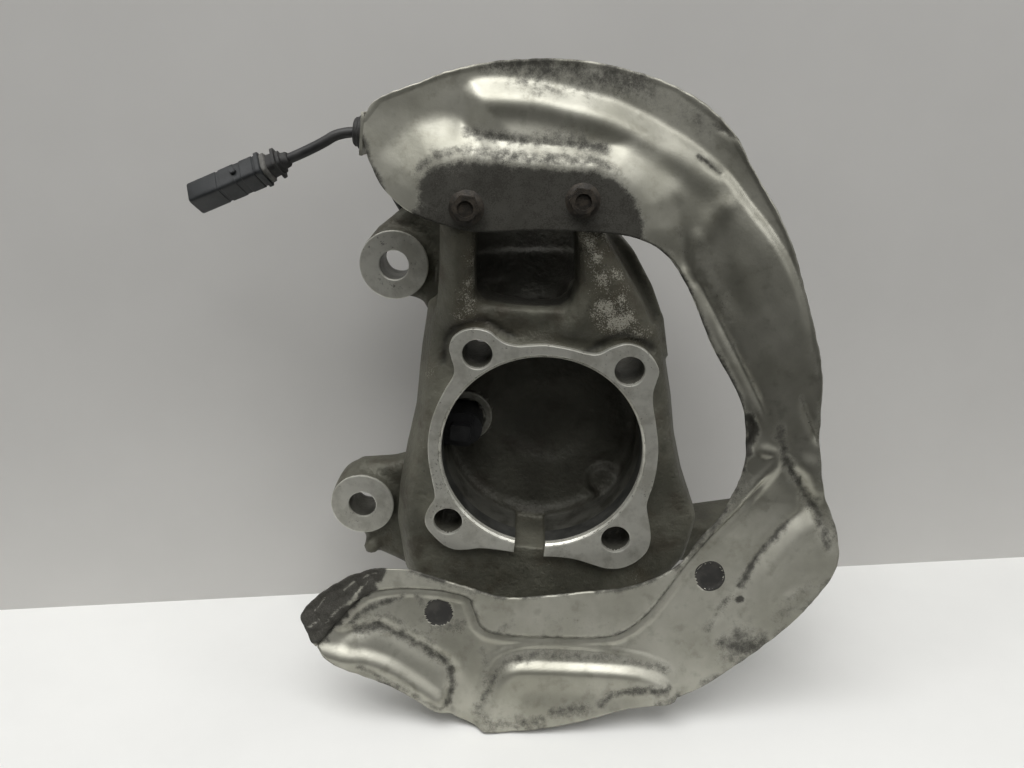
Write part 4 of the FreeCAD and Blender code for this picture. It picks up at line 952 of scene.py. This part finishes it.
def bore_band(name, profile, material):
    """A turned band of the bore's wall from rows (radius, depth), left open at the drain notch."""
    turn = np.linspace(-math.pi / 2, 1.5 * math.pi, 361)[:-1]
    radius, depth = np.array(profile).T[:, :, None]
    points = np.stack([radius * np.cos(turn), depth + 0 * turn, radius * np.sin(turn)], axis=-1)
    points = points.reshape(-1, 3)
    faces = grid_faces(len(profile), 360, True)
    middle = points[faces].mean(axis=1)
    keep = (np.abs(middle[:, 0]) > NOTCH / 2) | (middle[:, 2] > 0)
    build(name, points, faces[keep], material, "cast_aluminium", sharp=25)


def make_boss_ring():
    """The turned lip round the sensor's recess, cut away where the recess is open."""
    points, faces = turned([(9.5, -1.0), (9.6, 0.2), (9.9, 0.5), (12.3, 0.5), (12.8, 0.2), (13.0, -1.5)], 72)
    points = carried(points, (SENSOR[0], BOSS_FACE, SENSOR[1] + 1.2), (0, -1, 0))
    middle = points[faces].mean(axis=1)
    keep = (middle[:, 0] > -32.2) | (np.abs(middle[:, 2] + 0.5) > RECESS_HALF)
    keep &= np.hypot(middle[:, 0], middle[:, 2]) < 46.0
    build("boss_ring", points, faces[keep], BOSS, "cast_aluminium", sharp=30)


make_seat_face()
bore_band("bore_edge", [(47.6, 0.05), (47.55, 0.35), (46.9, 0.9), (46.6, 1.2), (46.6, 1.9), (47.0, 2.05),
                        (47.0, 2.6), (46.4, 2.8), (46.35, 3.4), (46.5, 3.7)], MACHINED)
# The bore's wall is painted darker than its milled edge: painted shade inside the bore.
bore_band("bore_wall", [(46.5, 3.7), (46.52, 4.0), (46.52, 9.0), (46.5, 13.6), (47.3, 14.3)], SHADED_BORE)
make_boss_ring()
for side, ear in zip(("upper", "lower"), EARS):
    flat_piece(f"ear_face_{side}", [ring_of(ear, EAR_RADIUS - 0.2), ring_of(ear, EAR_HOLE)], EAR_FACE - 0.15,
               EAR_FACE + 1.6)


# Dust shield: a grid between its two edges, pressed by steps and beads

OUTER_EDGE = [
    (-88.6, 138.8), (-83, 147), (-67, 155), (-55, 160.8), (-36, 166.5), (-12, 169.6), (10, 169),
    (34.5, 164.2), (56, 153), (71, 136), (90, 112), (104.6, 84), (116.7, 56), (121.3, 34), (125.6, 14),
    (131, -2), (140, -19), (143.5, -37), (135, -56), (122, -73), (104, -91), (82, -108), (52, -116.5),
    (24, -127), (-8, -134.5), (-30, -130), (-55, -118.5), (-84, -109.5), (-96, -100.5), (-103.5, -88.5),
    (-98.5, -78.5), (-85, -67), (-71, -60.5),
]
INNER_EDGE = [
    (-88.4, 131), (-84.5, 121), (-76, 110.5), (-61, 102.8), (-38, 99.6), (-17, 102.7), (11.5, 105),
    (28, 104), (41, 97.5), (53, 83.5), (66, 62), (83, 39), (90, 20), (91, 3.6), (86, -16), (77, -30),
    (69.5, -43), (57, -52), (44, -57.5), (25, -61.5), (-7, -67.7), (-28.6, -64.3), (-54, -59.4),
]
# Points of the two edges that lie opposite each other
OUTER_STOPS = (0, 2, 4, 6, 8, 10, 12, 14, 17, 20, 22, 24, 26, 27.5, 30, 32)
INNER_STOPS = (0, 2, 4, 6, 8, 9.5, 11, 13, 15, 16.5, 18, 20, 21, 21.45, 21.8, 22)
# Outline of the bolt pad, and traced lines of the pressing
BOLT_PAD = [
    (-66, 100), (-66, 114), (-64.9, 118), (-59, 125), (-49, 128.5), (-29.8, 129), (-11.8, 129.2),
    (6, 130.5), (14, 128), (21, 123.5), (27, 117), (30, 108), (30, 90), (-60, 90),
]
STEP_LINE = [
    (-47, 110), (-48.4, 149), (-47.5, 154), (-44, 156.5), (-22.9, 158), (-7.7, 156.6), (7.6, 154.6),
    (20.8, 151), (34.4, 145.6), (48.2, 139.3), (59.9, 131.8), (71.2, 121), (84.1, 109), (96.3, 93.6),
    (105.1, 76), (111, 52), (115.5, 30), (118, 8),
]
LOW_CREASE = [
    (105, 13), (100.7, 3.5), (93.7, -12), (82.4, -27.1), (72.7, -42.2), (65.9, -54.4), (57.6, -68.8),
    (48.6, -78.3), (38.7, -82.3), (11.4, -85.2), (-11, -86.4), (-18.5, -83.6), (-21.9, -77), (-24.7, -71.2),
    (-30.1, -68.6), (-42.2, -67.6), (-59.2, -68.7), (-73, -72.5), (-81, -79), (-88, -89),
]
LIP = [
    (-13, -134), (-9.9, -119), (-8.1, -110), (-3.6, -103.4), (4, -101), (23.5, -99.6), (40.9, -98.6),
    (54, -98.3), (64, -99.6), (71, -103), (75, -108),
]
LIP_RIDGE = [
    (-17.5, -127), (-16, -115), (-14.2, -104), (-8.5, -96.6), (2, -92), (22.3, -89.9), (39.6, -89.4),
    (57.2, -90.6), (68, -93.4), (73.6, -97), (76, -102),
]
ROLLED = [
    (-94, -101.5), (-81.8, -103.8), (-71.4, -103.9), (-60.7, -106.6), (-49.8, -112), (-36.9, -119.2),
    (-31.4, -123), (-24, -131),
]
VALLEY = [
    (-84, -97), (-77.6, -93.6), (-67.6, -90.4), (-56.9, -94.4), (-44.2, -100.4), (-35, -104.8),
    (-30.6, -110), (-29.8, -117), (-30.6, -126),
]
# Shorter beads and creases: line, depth inboard and width
PRESSED_LINES = (
    ([(47, 138.5), (53, 134.8), (59, 131.5)], 0.9, 1.7),
    ([(51, 151.5), (57.9, 149.3), (63, 146.6)], 0.6, 1.6),
    ([(31, 130), (39, 121.9), (43.6, 109.2), (46.1, 102.1), (48.6, 95)], 0.9, 3.2),
    ([(49.6, 112), (53.7, 100.5), (55, 89)], -0.8, 2.6),
    ([(66, 126), (57.1, 115.5), (51, 103)], -0.9, 4.5),
    ([(60, 113), (66, 95), (77, 72)], 0.7, 5.0),
    ([(43, 103), (51, 94.5), (62.5, 79.5), (74.6, 62.8), (85.2, 48), (95, 33), (100, 20)], 1.5, 2.3),
    ([(87.5, 33), (92.4, 24.3), (91.5, 13)], 2.4, 3.0),
    ([(99, 16), (104.8, 14), (103, 6), (96, -3), (86, -20)], -1.1, 2.6),
    ([(102, 27), (109.9, 11.9), (121, -1.5), (129, -12), (136, -22)], 2.3, 3.4),
    ([(109, 43), (116.3, 31.3), (123.5, 20)], 1.5, 2.2),
    ([(117, 18), (123.6, 4.8), (129, -8)], -1.2, 5.0),
    ([(98, -56), (106.1, -36.7), (115.6, -21.7), (124.1, -12.1)], 1.5, 2.5),
    ([(104, -58), (112, -42), (121, -27), (129, -18)], -1.3, 3.4),
    ([(86, -78), (94.5, -61.1), (100, -49)], 0.9, 2.4),
    ([(108, -72), (118, -56), (130, -44)], 1.0, 4.5),
)
BLACK_TIP = [
    (-110, -82), (-104, -100), (-93, -99), (-86, -91), (-80, -80), (-70, -69), (-66, -58), (-84, -60),
    (-96, -68),
]


def smooth(points):
    """A traced line as a finer smooth curve."""
    return curve_through(points, np.linspace(0, len(points) - 1, 4 * len(points)))


def pressed_line(x, z, line, width):
    """A soft bead along a traced line that dies away towards both its ends."""
    line = smooth(line)
    half = np.linalg.norm(np.diff(line, axis=0), axis=1).sum() / 2
    middle = line[len(line) // 2]
    fade = 1 - ease(np.hypot(x - middle[0], z - middle[1]), 0.45 * half, 1.05 * half)
    return fade * bead(line_distance(x, z, line)[0], width)


def shield_face(x, z):
    """Depth of the sheet's outboard face: base plane, rim, raised field, bolt pad, lean and pressed lines."""
    inward = line_distance(x, z, OUTER_EDGE)[0]
    height = np.full(np.shape(x), -4.0)
    across = beside(x, z, smooth(STEP_LINE))
    far = ease(x, 16, 68)
    near_rise = slope(across, -6.2, 1.9, 2.0)
    far_rise = 0.34 * slope(across, -1.8, 1.8, 1.0) * ease(z, 52, 84) + 0.66 * ease(across, -19, 9)
    level = 2.4 + 4.1 * ease(x, -57, -41) - 1.4 * far
    top = ease(z, -24, 24) * np.maximum(ease(z, 114, 146), ease(x, 0, 30))
    height += top * level * ((1 - far) * near_rise + far * far_rise)
    height += 1.3 * (1 - 0.6 * far) * ease(z, 60, 110) * ease(x, -50, -40) * bead(across + 13.5, 5.2)
    height -= 0.35 * (1 - ease(inward, 0, 2.0)) * ease(z, -30, 10)
    pad = inside_distance(x, z, BOLT_PAD)
    wide = 7.0 + 10.0 * ease(-x, 36, 60) + 12.0 * ease(x, 4, 28)
    height += (PAD_FACE - SHEET - 0.1 + 4.0) * (1 - slope(pad / wide, 0.04, 0.96, 0.16))
    height -= 0.17 * np.maximum(0, -z - 10)
    for line, depth, width in PRESSED_LINES:
        height += depth * pressed_line(x, z, line, width)
    inner = line_distance(x, z, INNER_EDGE)[0]
    height -= 0.8 * (1 - ease(inner, 0, 3.5)) * ease(x, 34, 50) * ease(z, 20, 40)
    below = beside(x, z, smooth(LOW_CREASE))
    falling = ease(-z, -12, 10)
    height += falling * (2.9 * slope(below, -0.8, 1.2, 0.7) - 0.7 * bead(below - 3.6, 1.6))
    below = -beside(x, z, smooth(LIP))
    reach = ease(-z, 84, 92) * ease(x, -24, -13) * (1 - ease(x, 72, 84))
    lip = 1.7 * slope(below, -8.8, -2.6, 1.2) + 3.4 * slope(below, -2.2, 1.0, 0.9)
    height -= reach * (lip - 0.9 * bead(below - 12.0, 7.0))
    height -= 0.7 * line_bead(x, z, smooth(LIP_RIDGE), 1.1) * ease(-z, 84, 90) * ease(x, -20, -16)
    below = -beside(x, z, smooth(ROLLED))
    curl = ease(-z, 86, 96) * (1 - ease(x, -36, -27))
    roll = 1.5 * slope(below, -9.5, -3.0, 1.5) + 3.2 * slope(below, -2.6, 1.8, 1.3)
    height -= curl * (roll - 0.8 * bead(below - 8.0, 4.0))
    height += 1.7 * line_bead(x, z, smooth(VALLEY), 3.6) * ease(x, -92, -78)
    calm = ease(pad, 0, 8)
    height += 0.4 * calm * ripple(x, z, 61.0, 2.0) + 0.1 * calm * ripple(x, z, 17.0, 5.0)
    tip = 1 - ease(inside_distance(x, z, BLACK_TIP), -5, 3)
    height += tip * (1.1 * ripple(x, z, 15.0, 3.0) + 0.55 * ripple(x, z, 6.5, 7.0))
    return height


# Dark lines of road soiling and painted shade: where they run in creases, grooves and valleys of the pressing
# they are partly painted shade, and the line along the lower crease is painted shade. Columns: line, width
# and amount
DIRT_AND_CREASE_SHADE = (
    ([(-40, 166), (-12, 167), (22, 163)], 8.0, 0.66), ([(-26, 162), (4, 163)], 9.0, 0.5),
    ([(28, 160), (50, 151)], 9.0, 0.45), ([(-46, 137.5), (-24, 137.5), (9, 137.5)], 3.6, 0.62),
    ([(-20, 139), (0, 140)], 5.0, 0.5), ([(47, 138.5), (57, 132.5)], 1.6, 0.75),
    ([(51, 151.5), (63, 146.6)], 1.8, 0.6), ([(43, 110), (47, 99)], 3.0, 0.5),
    ([(53, 108), (59, 92), (70, 74)], 6.5, 0.42), ([(28, 104), (41, 98)], 3.0, 0.6),
    ([(64, 78), (77, 60), (90, 42)], 4.5, 0.36), ([(89, 30), (92.5, 24), (91.5, 14)], 3.4, 1.2),
    ([(103, 27), (108, 14), (119, 0)], 4.0, 0.62), ([(122, -3), (130, -13), (137, -27)], 4.6, 0.66),
    ([(110, 42), (117, 31), (123, 21)], 1.8, 0.5), ([(99.9, -51.6), (106.1, -36.7), (117, -20)], 2.8, 0.75),
    ([(87.9, -74.4), (94.5, -61.1), (101, -47.9)], 3.2, 0.5),
    ([(96, -80.5), (108.3, -82), (114.6, -78)], 5.4, 0.72), ([(100, -86), (104, -74)], 7.0, 0.55),
    ([(100.6, -58.3), (101, -58)], 1.7, 1.3), ([(120, -66), (132, -48)], 5.0, 0.45),
    ([(84, -20), (78, -30), (66, -46)], 2.6, 0.62), ([(93, 0), (86, -14)], 5.0, 0.5),
    ([(88, 8), (90, -4)], 5.0, 0.6), ([(-85, -83), (-77.5, -74.7), (-72, -70)], 3.6, 0.9),
    ([(-82, -90), (-70, -80), (-58, -74)], 2.6, 0.6),
    ([(-78, -93.6), (-67.6, -90), (-57, -93.5), (-44, -99.5), (-34, -104)], 4.2, 0.66),
    ([(-31, -108), (-29.5, -117), (-31, -124)], 3.2, 0.72),
    ([(-54, -61), (-40, -62.5), (-24, -66)], 3.4, 0.45), ([(-44, -84), (-36, -88), (-28, -84)], 5.0, 0.52),
    ([(-50, -73), (-47, -78)], 2.4, 0.5),
    ([(-13, -120), (-10.5, -110), (-4.5, -99), (12, -95), (47, -93.2), (70, -96)], 3.2, 0.55),
    ([(-16, -126), (-8, -131), (14, -126)], 5.0, 0.5), ([(20, -121), (36, -117)], 4.0, 0.62),
    ([(41, -115), (47, -108.6), (58, -105.4), (72, -104.4)], 3.0, 0.7),
    ([(-75, -108), (-50, -118), (-34, -126)], 2.0, 0.5), ([(-10, -84), (-4, -80)], 3.4, 0.4),
    ([(36, -108), (40, -112)], 4.0, 0.3), (LOW_CREASE[3:], 1.5, 0.62),
    ([(-62, -85), (-50, -90), (-40, -95)], 4.0, 0.45), ([(-75, -88), (-66, -84)], 4.0, 0.4),
    ([(-17, -96), (-14, -104), (-14, -118)], 3.0, 0.42), ([(8, -78), (40, -76)], 6.0, 0.25),
)
# Bright scratches on the black tip: line and width
TIP_SCRATCHES = (
    ([(-84.5, -72.3), (-80, -68)], 1.0), ([(-82, -78.5), (-76, -70)], 1.3), ([(-79, -75), (-74, -67)], 0.7),
    ([(-92, -89), (-86, -81), (-79, -76)], 1.1), ([(-97, -84), (-93, -77)], 0.7),
    ([(-88, -95), (-82, -88)], 1.2), ([(-76, -65), (-70, -62)], 1.0), ([(-99, -92), (-95, -88)], 0.8),
)


def shield_dirt(x, z):
    """How dark the sheet is painted, from 0 to 1: dirty bolt pad, black tip, smears along the edges, and
    smudged lines that are partly painted shade in creases, grooves and valleys.
    """
    pad = inside_distance(x, z, BOLT_PAD)
    dirt = 0.98 * (1 - ease(pad, -4.5, 2.5))
    dirt = dirt * (1 - 0.35 * bead(np.hypot(x + 66, z - 111), 5.0))
    dirt = np.maximum(dirt, 0.56 * bead(pad - 1.5, 3.4) * ease(z, 112, 124) * (1 - ease(x, 8, 26)))
    tip = inside_distance(x, z, BLACK_TIP) + 2.2 * ripple(x, z, 9.0, 4.0)
    dirt = np.maximum(dirt, 1.1 * (1 - ease(tip, -1.5, 3.5)))
    for edge, amount, width, pitch, seed, low, high in (
        (OUTER_EDGE, 0.5, 3.6, 34.0, 3.0, -0.1, 0.3), (INNER_EDGE, 0.75, 2.2, 27.0, 6.0, -0.5, 0.1)
    ):
        smear = amount * line_bead(x, z, edge, width) * ease(ripple(x, z, pitch, seed), low, high)
        dirt = np.maximum(dirt, smear)
    # Dark lines: road soiling, with painted shade where they run in creases, grooves and valleys.
    for line, width, amount in DIRT_AND_CREASE_SHADE:
        gap = line_distance(x, z, line)[0] + 0.22 * width * ripple(x, z, 6.0 + width, amount * 9.0)
        dirt = np.maximum(dirt, amount * bead(gap, width))
    for line, width in TIP_SCRATCHES:
        gap = line_distance(x, z, line)[0] + 0.5 * ripple(x, z, 4.0, width)
        dirt = dirt * (1 - 0.5 * bead(gap, 0.7 * width))
    return np.clip(dirt, 0, 1.1)


def shield_film(x, z):
    """How matte and pale the sheet is: most on its lower strip and upper left, least on the right limb."""
    strip = 1 - ease(beside(x, z, LOW_CREASE), -1.0, 1.5)
    lower = 0.42 + 0.5 * np.maximum(strip, ease(x, 46, 70)) - 0.22 * ease(-z, 86, 100) * (1 - ease(x, 50, 80))
    film = ease(-z, -6, 34) * lower + 0.5 * ease(z, 96, 112) * (1 - ease(x, 26, 62)) + 0.12
    return np.clip(film, 0, 1)


def make_shield():
    """The pressed sheet: a grid from edge to edge, with ragged edges and round holes, thickened inboard."""
    rows, columns = ((560, 72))
    way = np.linspace(0, 1, rows)
    stops = np.linspace(0, 1, len(OUTER_STOPS))
    outer = curve_through(OUTER_EDGE, np.interp(way, stops, OUTER_STOPS))
    inner = curve_through(INNER_EDGE, np.interp(way, stops, INNER_STOPS))
    share = np.linspace(0, 1, columns)[None, :, None]
    flat = outer[:, None] * (1 - share) + inner[:, None] * share
    width = np.linalg.norm(outer - inner, axis=1)[:, None, None]
    ragged = 0.4 * np.abs(ripple(outer[:, 0], outer[:, 1], 15.0, 2.0))[:, None, None] / width
    torn = 0.4 * np.abs(ripple(inner[:, 0], inner[:, 1], 11.0, 4.0))[:, None, None] / width
    flat = flat + (inner - outer)[:, None] * (ragged * (1 - share) ** 12 - torn * share ** 12)
    x, z = flat[..., 0], flat[..., 1]
    points = np.stack([x, shield_face(x, z), z], axis=-1).reshape(-1, 3)
    faces = grid_faces(rows, columns)
    middle = points[faces].mean(axis=1)
    keep = np.ones(len(faces), bool)
    for places, radius in ((SHIELD_BOLTS, 3.4), (PLUGS, 6.6)):
        for place in places:
            keep &= np.hypot(middle[:, 0] - place[0], middle[:, 2] - place[1]) > radius
    # Painted on the points: darkness from road soiling and painted crease shade, and the matte film.
    item = build("shield_sheet", points, faces[keep][:, ::-1], PRESSED, "pressed_aluminium", ["dust_shield"],
                 dirt=shield_dirt(points[:, 0], points[:, 2]), film=shield_film(points[:, 0], points[:, 2]))
    item.data.flip_normals()
    wall = item.modifiers.new("wall", "SOLIDIFY")
    wall.thickness = SHEET * MM
    wall.offset = -1.0
    wall.use_even_offset = False


def make_tab():
    """The folded tab that holds the grommet: a round loop and a squared loop round it, on both faces."""
    count, (hole_y, hole_z) = 48, LEAD_EXIT
    turn = np.linspace(0, 2 * math.pi, count, endpoint=False)
    c, s = np.cos(turn), np.sin(turn)
    reach = np.minimum(9.0 / np.maximum(np.abs(c), 1e-6), 8.5 / np.maximum(np.abs(s), 1e-6))
    outer = np.stack([hole_y - 2.2 + reach * c, hole_z + reach * s], axis=1)
    inner = np.stack([hole_y + 4.6 * c, hole_z + 4.6 * s], axis=1)
    points = np.concatenate([
        np.column_stack([np.full(count, -88.5 + offset), loop])
        for offset, loop in ((0.0, inner), (0.0, outer), (-SHEET, outer), (-SHEET, inner))
    ])
    first = np.arange(count)
    after = np.roll(first, -1)
    closing = np.stack([first, after, after + 3 * count, first + 3 * count], axis=1)
    faces = np.concatenate([grid_faces(4, count, True), closing])
    build("shield_tab", points, faces, PRESSED, "pressed_aluminium", sharp=40,
          dirt=np.full(len(points), 0.2), film=np.full(len(points), 0.4))


make_shield()
make_tab()


# Rubber plugs: lathes of a shallow dome with a rim, set on the sheet's normal

PLUG_PROFILE = [
    (0.01, 1.0), (2.4, 1.0), (4.6, 0.9), (5.4, 0.8), (6.0, 0.95), (6.8, 1.25), (7.4, 1.2), (7.9, 0.9),
    (8.15, 0.3), (8.1, -0.35), (6.45, -0.4), (6.4, -1.3), (7.1, -1.5), (7.0, -3.0), (4.6, -6.2),
    (0.01, -6.3),
]


def plug_place(x, z):
    """Depth of the sheet at a point and its outboard normal, from differences over 12 mm."""
    reach = 6.0
    depth, left, right, down, up = [
        shield_face(np.array([x + dx]), np.array([z + dz]))[0]
        for dx, dz in ((0, 0), (-reach, 0), (reach, 0), (0, -reach), (0, reach))
    ]
    normal = np.array([(right - left) / (2 * reach), -1.0, (up - down) / (2 * reach)])
    return (x, depth, z), normal / np.linalg.norm(normal)


for side, plug in zip(("left", "right"), PLUGS):
    points, faces = turned(PLUG_PROFILE)
    build(f"plug_{side}", carried(points, *plug_place(*plug)), faces, PLUG_RUBBER, "black_rubber",
          [f"shield_plug_{side}"], sharp=60)


# Lead: a free cord from the sensor, through the grommet, to the connector

TILT = math.radians(-28.0)
CONNECTOR = np.array([-121.0, 8.0, 118.6])
CONNECTOR_ROLL = math.radians(40.0)
ALONG_LEAD = np.array([math.cos(TILT), 0.0, -math.sin(TILT)])
LEAD_ROUTE = [
    (-37.5, 62.65, 14.3), (-38.5, 63.5, 34.0), (-47.0, 61.0, 56.0), (-63.0, 58.0, 77.0), (-79.0, 51.0, 99.0),
    (-81.0, 33.0, 108.5), (-69.0, 18.0, 117.5), (-77.5, *LEAD_EXIT), (-99.0, *LEAD_EXIT),
    tuple(CONNECTOR + 13.5 * ALONG_LEAD), tuple(CONNECTOR + 0.15 * ALONG_LEAD),
]
LEAD_DIAMETER = 4.4


def make_lead():
    """The lead: a round section carried along a smooth curve drawn by the route's points."""
    curve = bpy.data.curves.new("lead", "CURVE")
    curve.dimensions = "3D"
    curve.bevel_depth = LEAD_DIAMETER / 2 * MM
    curve.bevel_resolution = 5
    curve.use_fill_caps = True
    spline = curve.splines.new("NURBS")
    spline.points.add(len(LEAD_ROUTE) - 1)
    route = np.column_stack([np.array(LEAD_ROUTE) * MM, np.ones(len(LEAD_ROUTE))])
    spline.points.foreach_set("co", route.ravel())
    spline.order_u = 3
    spline.use_endpoint_u = True
    spline.resolution_u = 16
    curve.materials.append(LEAD)
    return add_piece("lead", curve, ["sensor_lead"])


# Grommet, boot, seal and connector: a lathe on the lead, then sections joined along it

GROMMET_PROFILE = [
    (2.3, -3.5), (4.6, -3.5), (5.8, -3.1), (6.4, -0.8), (4.5, -0.7), (4.5, 0.7), (6.6, 0.75), (6.8, 1.3),
    (6.7, 2.7), (6.0, 3.2), (5.9, 4.2), (5.2, 4.9), (3.2, 5.0), (2.4, 4.6), (2.2, 0.0), (2.3, -3.5),
]
# Connector sections: distance along the axis, width, height and corner
BOOT = (
    (0.0, 0.1, 0.1, 0.5), (0.0, 5.4, 5.4, 0.8), (0.6, 6.4, 6.2, 0.8), (2.6, 7.0, 6.4, 0.75),
    (3.0, 8.6, 7.6, 0.6), (4.2, 8.8, 7.8, 0.6), (4.4, 11.6, 9.6, 0.4), (5.6, 11.8, 9.8, 0.4),
    (5.8, 8.8, 7.8, 0.6), (7.4, 9.0, 8.0, 0.6), (9.2, 9.2, 8.2, 0.6), (9.2, 0.1, 0.1, 0.6),
)
SEAL = (
    (8.8, 0.1, 0.1, 0.5), (8.8, 9.6, 8.8, 0.5), (9.2, 10.8, 9.8, 0.45), (10.6, 11.0, 10.0, 0.45),
    (11.2, 10.4, 9.4, 0.5), (11.2, 0.1, 0.1, 0.5),
)
SHELL = (
    (11.0, 0.1, 0.1, 0.5), (11.0, 11.8, 10.6, 0.35), (11.3, 12.6, 11.4, 0.3), (12.8, 12.6, 11.4, 0.3),
    (13.1, 11.2, 10.0, 0.3), (14.2, 11.0, 9.8, 0.3), (14.5, 11.6, 10.4, 0.3), (20.0, 11.5, 10.4, 0.28),
    (20.3, 11.1, 10.0, 0.28), (23.0, 11.1, 10.0, 0.28), (23.3, 11.5, 10.4, 0.25), (30.0, 11.4, 10.3, 0.22),
    (30.2, 10.8, 9.7, 0.22), (31.4, 10.8, 9.7, 0.22), (31.6, 11.3, 10.2, 0.22), (44.6, 11.2, 10.2, 0.2),
    (45.0, 10.8, 9.8, 0.2), (45.0, 9.2, 8.2, 0.2), (44.4, 8.8, 7.8, 0.2), (32.2, 8.7, 7.7, 0.2),
    (32.0, 0.1, 0.1, 0.5),
)


def squared(width, height, corner, count):
    """Cross-section ring: a superellipse-like rectangle whose corners are cut by the given amount."""
    turn = np.linspace(0, 2 * math.pi, count, endpoint=False)
    c, s = np.cos(turn), np.sin(turn)
    power = 2.0 / max(2.2, 9.0 * (1 - corner))
    across, up = width / 2 * np.sign(c) * np.abs(c) ** power, height / 2 * np.sign(s) * np.abs(s) ** power
    return np.stack([across, up], axis=1)


def connector_piece(name, sections, material, slot, count=40):
    """A rounded cross-section carried along the connector's axis, with its size given at each section."""
    rings = [np.column_stack([squared(w, h, c, count), np.full(count, d)]) for d, w, h, c in sections]
    placed = carried(np.concatenate(rings), CONNECTOR, -ALONG_LEAD, CONNECTOR_ROLL)
    faces = grid_faces(len(sections), count, True)[:, ::-1]
    return build(name, placed, faces, material, slot, [f"connector_{name}"], sharp=32)


def make_peg(name, side):
    """One of the two pegs: a short lathe that points out of the connector's side."""
    points, faces = turned([(0.01, 1.5), (1.0, 1.5), (1.3, 1.2), (1.35, -1.0)], 20)
    local = np.column_stack([side * (5.6 + points[:, 2]), points[:, 1], 23.0 + points[:, 0] * side])
    placed = carried(local, CONNECTOR, -ALONG_LEAD, CONNECTOR_ROLL)
    return build(name, placed, faces[:, ::-side], PLASTIC, "black_plastic", sharp=35)


lead = make_lead()
points, faces = turned(GROMMET_PROFILE, 56)
build("grommet", carried(points, (-89.1, *LEAD_EXIT), (-1, 0, 0)), faces, RUBBER, "black_rubber",
      ["lead_grommet"], sharp=35)
connector = [
    connector_piece("boot", BOOT, RUBBER, "black_rubber"),
    connector_piece("seal", SEAL, COLLAR, "grey_rubber"),
    connector_piece("shell", SHELL, PLASTIC, "black_plastic"),
    make_peg("peg_left", -1),
    make_peg("peg_right", 1),
]


# Solids that keep their shape and take a finish

for name, material in (("shield_bolt_left", RUST), ("shield_bolt_right", RUST), ("sensor_bolt", RUST),
                       ("speed_sensor", SENSOR_PLASTIC), ("sensor_seal", RUBBER), ("connector_pin_1", PINS),
                       ("connector_pin_2", PINS)):
    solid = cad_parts[name]
    solid.data.materials.clear()
    solid.data.materials.append(material)
